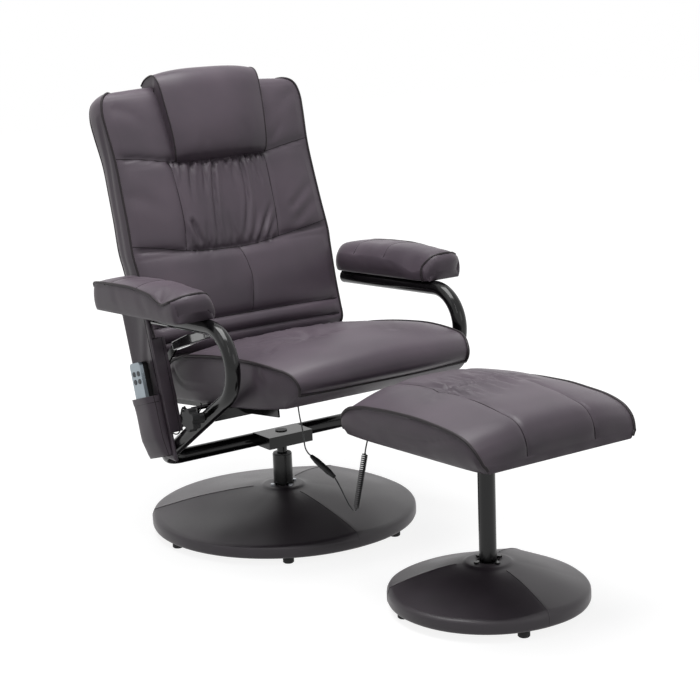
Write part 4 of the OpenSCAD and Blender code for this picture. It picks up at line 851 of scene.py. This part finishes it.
def two_faced(name, front, rear, place, body, *replaced):
    """A closed thin leather piece from two matching grids of points."""
    m, n = front.shape[0] - 1, front.shape[1] - 1
    mesh = bmesh.new()
    rows = [[[mesh.verts.new(place @ Vector(p)) for p in row] for row in face] for face in (front, rear)]
    for face in rows:
        for j in range(m):
            for i in range(n):
                mesh.faces.new((face[j][i], face[j][i + 1], face[j + 1][i + 1], face[j + 1][i]))
    rim = grid_rim(m, n)
    for (aj, ai), (bj, bi) in zip(rim, rim[1:] + rim[:1]):
        mesh.faces.new((rows[0][aj][ai], rows[0][bj][bi], rows[1][bj][bi], rows[1][aj][ai]))
    dress(finish_mesh(name, mesh, plum_leather), body, "brown_leather", *replaced)


rear_u = np.linspace(-1, 1, 49)[None, :]
rear_x = rear_rows[:, 0][:, None] * 0.262 * rear_u
rear_y = 0.057 + rear_rows[:, 1][:, None] * (back_l - 0.059) + 0 * rear_u
rear_puff = (1 - np.abs(rear_u) ** 4) * np.sin(np.pi * rear_rows[:, 1][:, None]) ** 0.4
rear_z = -0.029 - 0.0035 * rear_puff - 0.0006 * ripple(rear_x, rear_y, 0.15, 6)
rear_face = np.stack([rear_x, rear_y, rear_z], -1)
two_faced("back_rear_panel", rear_face, np.stack([rear_x, rear_y, -0.0262 + 0 * rear_x], -1), back_place,
          "back", "back_rear_cover")
rear_rim = [rear_face[at] for at in grid_rim(len(rear_rows) - 1, 48)]
sew("back_rear_piping", [rear_rim], back_place, "back", 0.0045, welt_leather_painted_shade, True)

# The pocket on the sitter's right: a stiffened leatherette panel hung between the arm and the lower
# tube, a hem turned round its front edge, and a flat pouch sewn on low down for the handset.
panel_foot, panel_heel = (-0.073, 0.222), (0.037, 0.222)
panel_top, panel_end = (0.01951, 0.53556), (0.13535, 0.52949)
s, t = np.linspace(0, 1, 41)[None, :], np.linspace(0, 1, 91)[:, None]
panel_y, panel_z = [(foot * (1 - s) + heel * s) * (1 - t) + (top * (1 - s) + end * s) * t
                    for foot, heel, top, end in zip(panel_foot, panel_heel, panel_top, panel_end)]
rim = np.minimum(np.minimum(s, 1 - s) * 0.115, np.minimum(t, 1 - t) * 0.31)
hollow = 0.003 * np.sin(np.pi * s) * np.clip(t * 1.6, 0, 1) ** 0.5 + 0.003 * np.exp(-rim / 0.0022)
hollow = hollow + 0.0007 * ripple(panel_y, panel_z * 0.5, 0.07, 31)
hollow = hollow - pressed(panel_y, panel_z, [
    ([(-56, 300), (6, 505)], 1.4, 2, 0), ([(20, 500), (30, 430), (14, 370)], 2.2, 10, 0.4)])
post_place = Matrix.Translation((0, post_y, 0))
panel_x, panel_inner_x = -0.317, -0.3094
two_faced("pocket_panel_sewn", np.stack([panel_x + hollow, panel_y, panel_z], -1),
          np.stack([panel_inner_x + 0 * hollow, panel_y, panel_z], -1), post_place, "frame", "pocket_panel")
hem_s = np.linspace(0, 1, 61)[:, None]
hem_w = np.linspace(0, 1, 13)[None, :]
hem_z = 0.282 + (0.4786 - 0.282) * hem_s
panel_rise, panel_run = panel_top[1] - panel_foot[1], panel_top[0] - panel_foot[0]
hem_y = panel_foot[0] + (hem_z - panel_foot[1]) * panel_run / panel_rise
hem_wave = 0.0007 * np.sin(hem_s * 21 + hem_w * 3) * hem_w
hem_face = np.stack([-0.3165 + 0.0322 * hem_w + 0 * hem_s,
                     hem_y - 0.0006 - 0.0014 * np.sin(np.pi * hem_w) + hem_wave, hem_z + 0 * hem_w], -1)
two_faced("pocket_hem", hem_face, hem_face + (0, 0.0022, 0), post_place, "frame")
edge_seam = [(-0.3171, -0.0605 + (z - 0.222) * 0.295, z) for z in np.linspace(0.262, 0.52, 24)]
sew("pocket_seams", [edge_seam, hem_face[:, 9]], post_place, "frame", 0.0011)

pouch_lean = math.atan2(panel_run, panel_rise)
pouch_place = tilted((panel_x, post_y - 0.018, panel_foot[1]), -pouch_lean) @ Matrix.Diagonal((-1, 1, 1, 1))
pouch_v = np.sin(np.linspace(-np.pi / 2, np.pi / 2, 49))[None, :]
pouch_z = np.concatenate([np.linspace(0, 0.118, 34), np.linspace(0.1185, 0.132, 8)])[:, None]
pouch_deep = np.interp(pouch_z, [0, 0.008, 0.04, 0.085, 0.132], [0.013, 0.0175, 0.0268, 0.0278, 0.028])
pouch_band = np.where(pouch_z > 0.118, 0.0009, 0) + 0.0024 * np.clip((pouch_z - 0.09) / 0.042, 0, 1) ** 2


def pouch_face(inset):
    round_off = (1 - np.abs(pouch_v) ** 5) ** 0.45
    x = (pouch_deep - inset + (pouch_band if inset == 0 else pouch_band - 0.0006)) * round_off
    y = (0.046 - inset) * pouch_v + 0 * pouch_z
    x = x + 0.0008 * ripple(y, pouch_z + 0 * y, 0.06, 17) * round_off
    return np.stack([x, y, pouch_z + 0 * pouch_v], -1)


pouch_inside = pouch_face(0.0018)
two_faced("pocket_pouch_sewn", pouch_face(0), pouch_inside, pouch_place, "frame", "pocket_pouch")
depth_share = np.linspace(0, 1, 5)[:, None]
floor_mid = np.stack([depth_share * pouch_inside[1, :, 0], 0 * depth_share + pouch_inside[1, :, 1],
                      0.0005 + 0 * depth_share * pouch_inside[1, :, 1]], -1)
two_faced("pocket_pouch_floor", floor_mid, floor_mid + (0, 0, 0.0015), pouch_place, "frame")
pouch_skin = pouch_face(-0.0002)
sew("pocket_pouch_seams", [pouch_skin[33, 2:-2], pouch_skin[0, 2:-2], pouch_skin[:, 5], pouch_skin[:, -6]],
    pouch_place, "frame", 0.0011)

# The controls: a lever on the hinge pin with a moulded grip, and the massager's handset, a black tray
# with a pale face and four soft keys.
# ABS from a polished mould: near black with sharp reflections.
gloss_abs = clouded("polished_black_abs", "141517", "1b1c1f", 0.12, 3.0, 0.02, **{
    "Specular IOR Level": 0.9, "Coat Weight": 1.0, "Coat Roughness": 0.05})
# ABS with a silver-blue flake paint: a pale cool metal look with a soft shine.
silver_abs = clouded("silver_painted_abs", "9aa6ae", "aab5bc", 0.3, 0.6, 0.05, Metallic=0.55)
# Silicone keys, moulded: mid grey, matt and slightly chalky.
key_rubber = clouded("grey_silicone_rubber", "55585c", "63666a", 0.6, 0.8, 0.08)
coat(gloss_abs, "lever_grip")
coat(silver_abs, "handset_front")
coat(key_rubber, "button_1", "button_2", "button_3", "button_4")

# The footstool's cushion: foam on a plywood board, in three panels. Its middle is gathered along a
# line from seam to seam, and thick piping arches over each side gusset.
stool_place = tilted((*stool_at, 0.352), -math.radians(1.2))
stool_shares = [
    (-0.991, 0.12, -1.005, 0.14, 0.943, 0), (-0.955, 0.29, -1.009, 0.35, 0.969, 0.018),
    (-0.901, 0.43, -0.964, 0.59, 0.985, 0.045), (-0.802, 0.57, -0.856, 0.8, 0.995, 0.095),
    (-0.631, 0.66, -0.653, 0.91, 1, 0.18), (-0.36, 0.72, -0.36, 0.99, 1, 0.32),
    (-0.086, 0.74, -0.086, 1.04, 1, 0.457), (0.27, 0.72, 0.27, 1.05, 1, 0.635),
    (0.563, 0.67, 0.577, 1.01, 1, 0.782), (0.743, 0.59, 0.788, 0.92, 0.99, 0.875),
    (0.856, 0.51, 0.901, 0.74, 0.979, 0.93), (0.955, 0.35, 0.991, 0.44, 0.964, 0.98),
    (0.982, 0.2, 1, 0.18, 0.943, 1)]
stool_half_l, stool_high, stool_half_w, stool_foot_half_w = 0.222, 0.098, 0.194, 0.183


def stool_base(edge, rows, u):
    return np.stack([edge[:, 0] * stool_foot_half_w / stool_half_w, stool_half_l * (2 * rows[:, 5] - 1),
                     -0.002 - 0.005 * rows[:, 5]], -1)


stool = Cushion(row_sizes(stool_shares, stool_half_l, stool_high, stool_half_w), 2.6, 130, 12, stool_base,
                [(0.05, -0.0003), (0.1, 0.002)], rings=12, bulge=0.008)
stool_left = [(-83, -235), (-81, -120), (-80, -60), (-84, -20), (-94, 18),
              (-86, 55), (-84, 120), (-84, 235)]
stool_right = [(84, -235), (86, -120), (88, -60), (86, -10), (77, 25),
               (83, 70), (82, 120), (80, 235)]
stool_strokes = []
for seam_line in (stool_left, stool_right):
    stool_strokes += [(seam_line, 3.4, 3.4, 0), (seam_line, 1.8, 15, 0)]
cross_line = [(-94, 18), (-61, 16), (-35, 10), (0, 16), (41, 26), (77, 25)]
stool_gathers = [(cross_line, 4.4, 8, 0.2)]
rng = np.random.default_rng(5)
for x, y in fine_rows(cross_line, 2)[1:-1]:
    for way in (-1, 1):
        reach, bend = rng.uniform(55, 115), rng.uniform(-10, 12)
        fold = [(x, y + way * 3), (x + bend * 0.4, y + way * reach * 0.5), (x + bend, y + way * reach)]
        stool_gathers.append((fold, rng.uniform(5.2, 7.4), rng.uniform(5.4, 7.0), 0.4))
stool_strokes += [
    ([(88, 20), (100, -12), (112, -46)], 2.2, 7, 0.5),
    ([(88, 32), (106, 20), (128, 16)], 2, 6, 0.5),
    ([(-106, 16), (-122, 0), (-134, -22)], 1.8, 7, 0.5)]
side_seam = [(-165, 60), (-110, 44), (-40, 30), (60, 26), (130, 36), (180, 56)]


def stool_relief(p, side, fade):
    x, y, z = p.T
    between = np.clip((x + 0.088) / 0.012, 0, 1) * np.clip((0.08 - x) / 0.012, 0, 1)
    to_edge = np.clip(fade + np.clip((np.abs(y) - 0.15) / 0.05, 0, 1) * 0.6, 0, 1)
    lift = (pressed(x, y, stool_strokes) + between * pressed(x, y, stool_gathers)) * to_edge
    crease = side_folds(p, side, 0.15, [(side_seam, 2.4, 3, 0.3), (side_seam, 1.2, 12, 0)])
    hem = 0.0022 * ripple(x + y, 0 * x, 0.055, 13) * np.exp(-(z / 0.016) ** 2) * (side < 1)
    slack = 0.001 * ripple(x, y + z, 0.13, 9) * (side < 1)
    return np.where(side == 0, lift, 0) + crease + hem + slack


stool.press(stool_relief)
upholster(stool, "stool_cushion_skin", stool_place, "footstool", "stool_cushion")
stool_piping = []
for side, front_m, rear_m in ((-1, 0, -stool.nv), (1, stool.nu, stool.nu + stool.nv)):
    front_run, rear_run = [stool.down(m, 1, 7, -0.0004) for m in (front_m, rear_m)]
    stool_piping.append(front_run[::-1] + stool.edge(side, 0, None, 0.001) + rear_run)
sew("stool_piping", stool_piping, stool_place, "footstool", 0.0068, welt_leather_painted_shade)
stool_threads = []
for line, at_x in ((stool_left, -83), (stool_right, 84)):
    points = [spot for spot in line if abs(spot[1]) < 200]
    stool_threads.append(stool.seam([(at_x, -190)] + points + [(points[-1][0], 190)]))
    stool_threads.append([stool.spot(at_x, row) for row in np.linspace(0, 40, 30)])
sew("stool_seams", stool_threads, stool_place, "footstool", 0.0014)
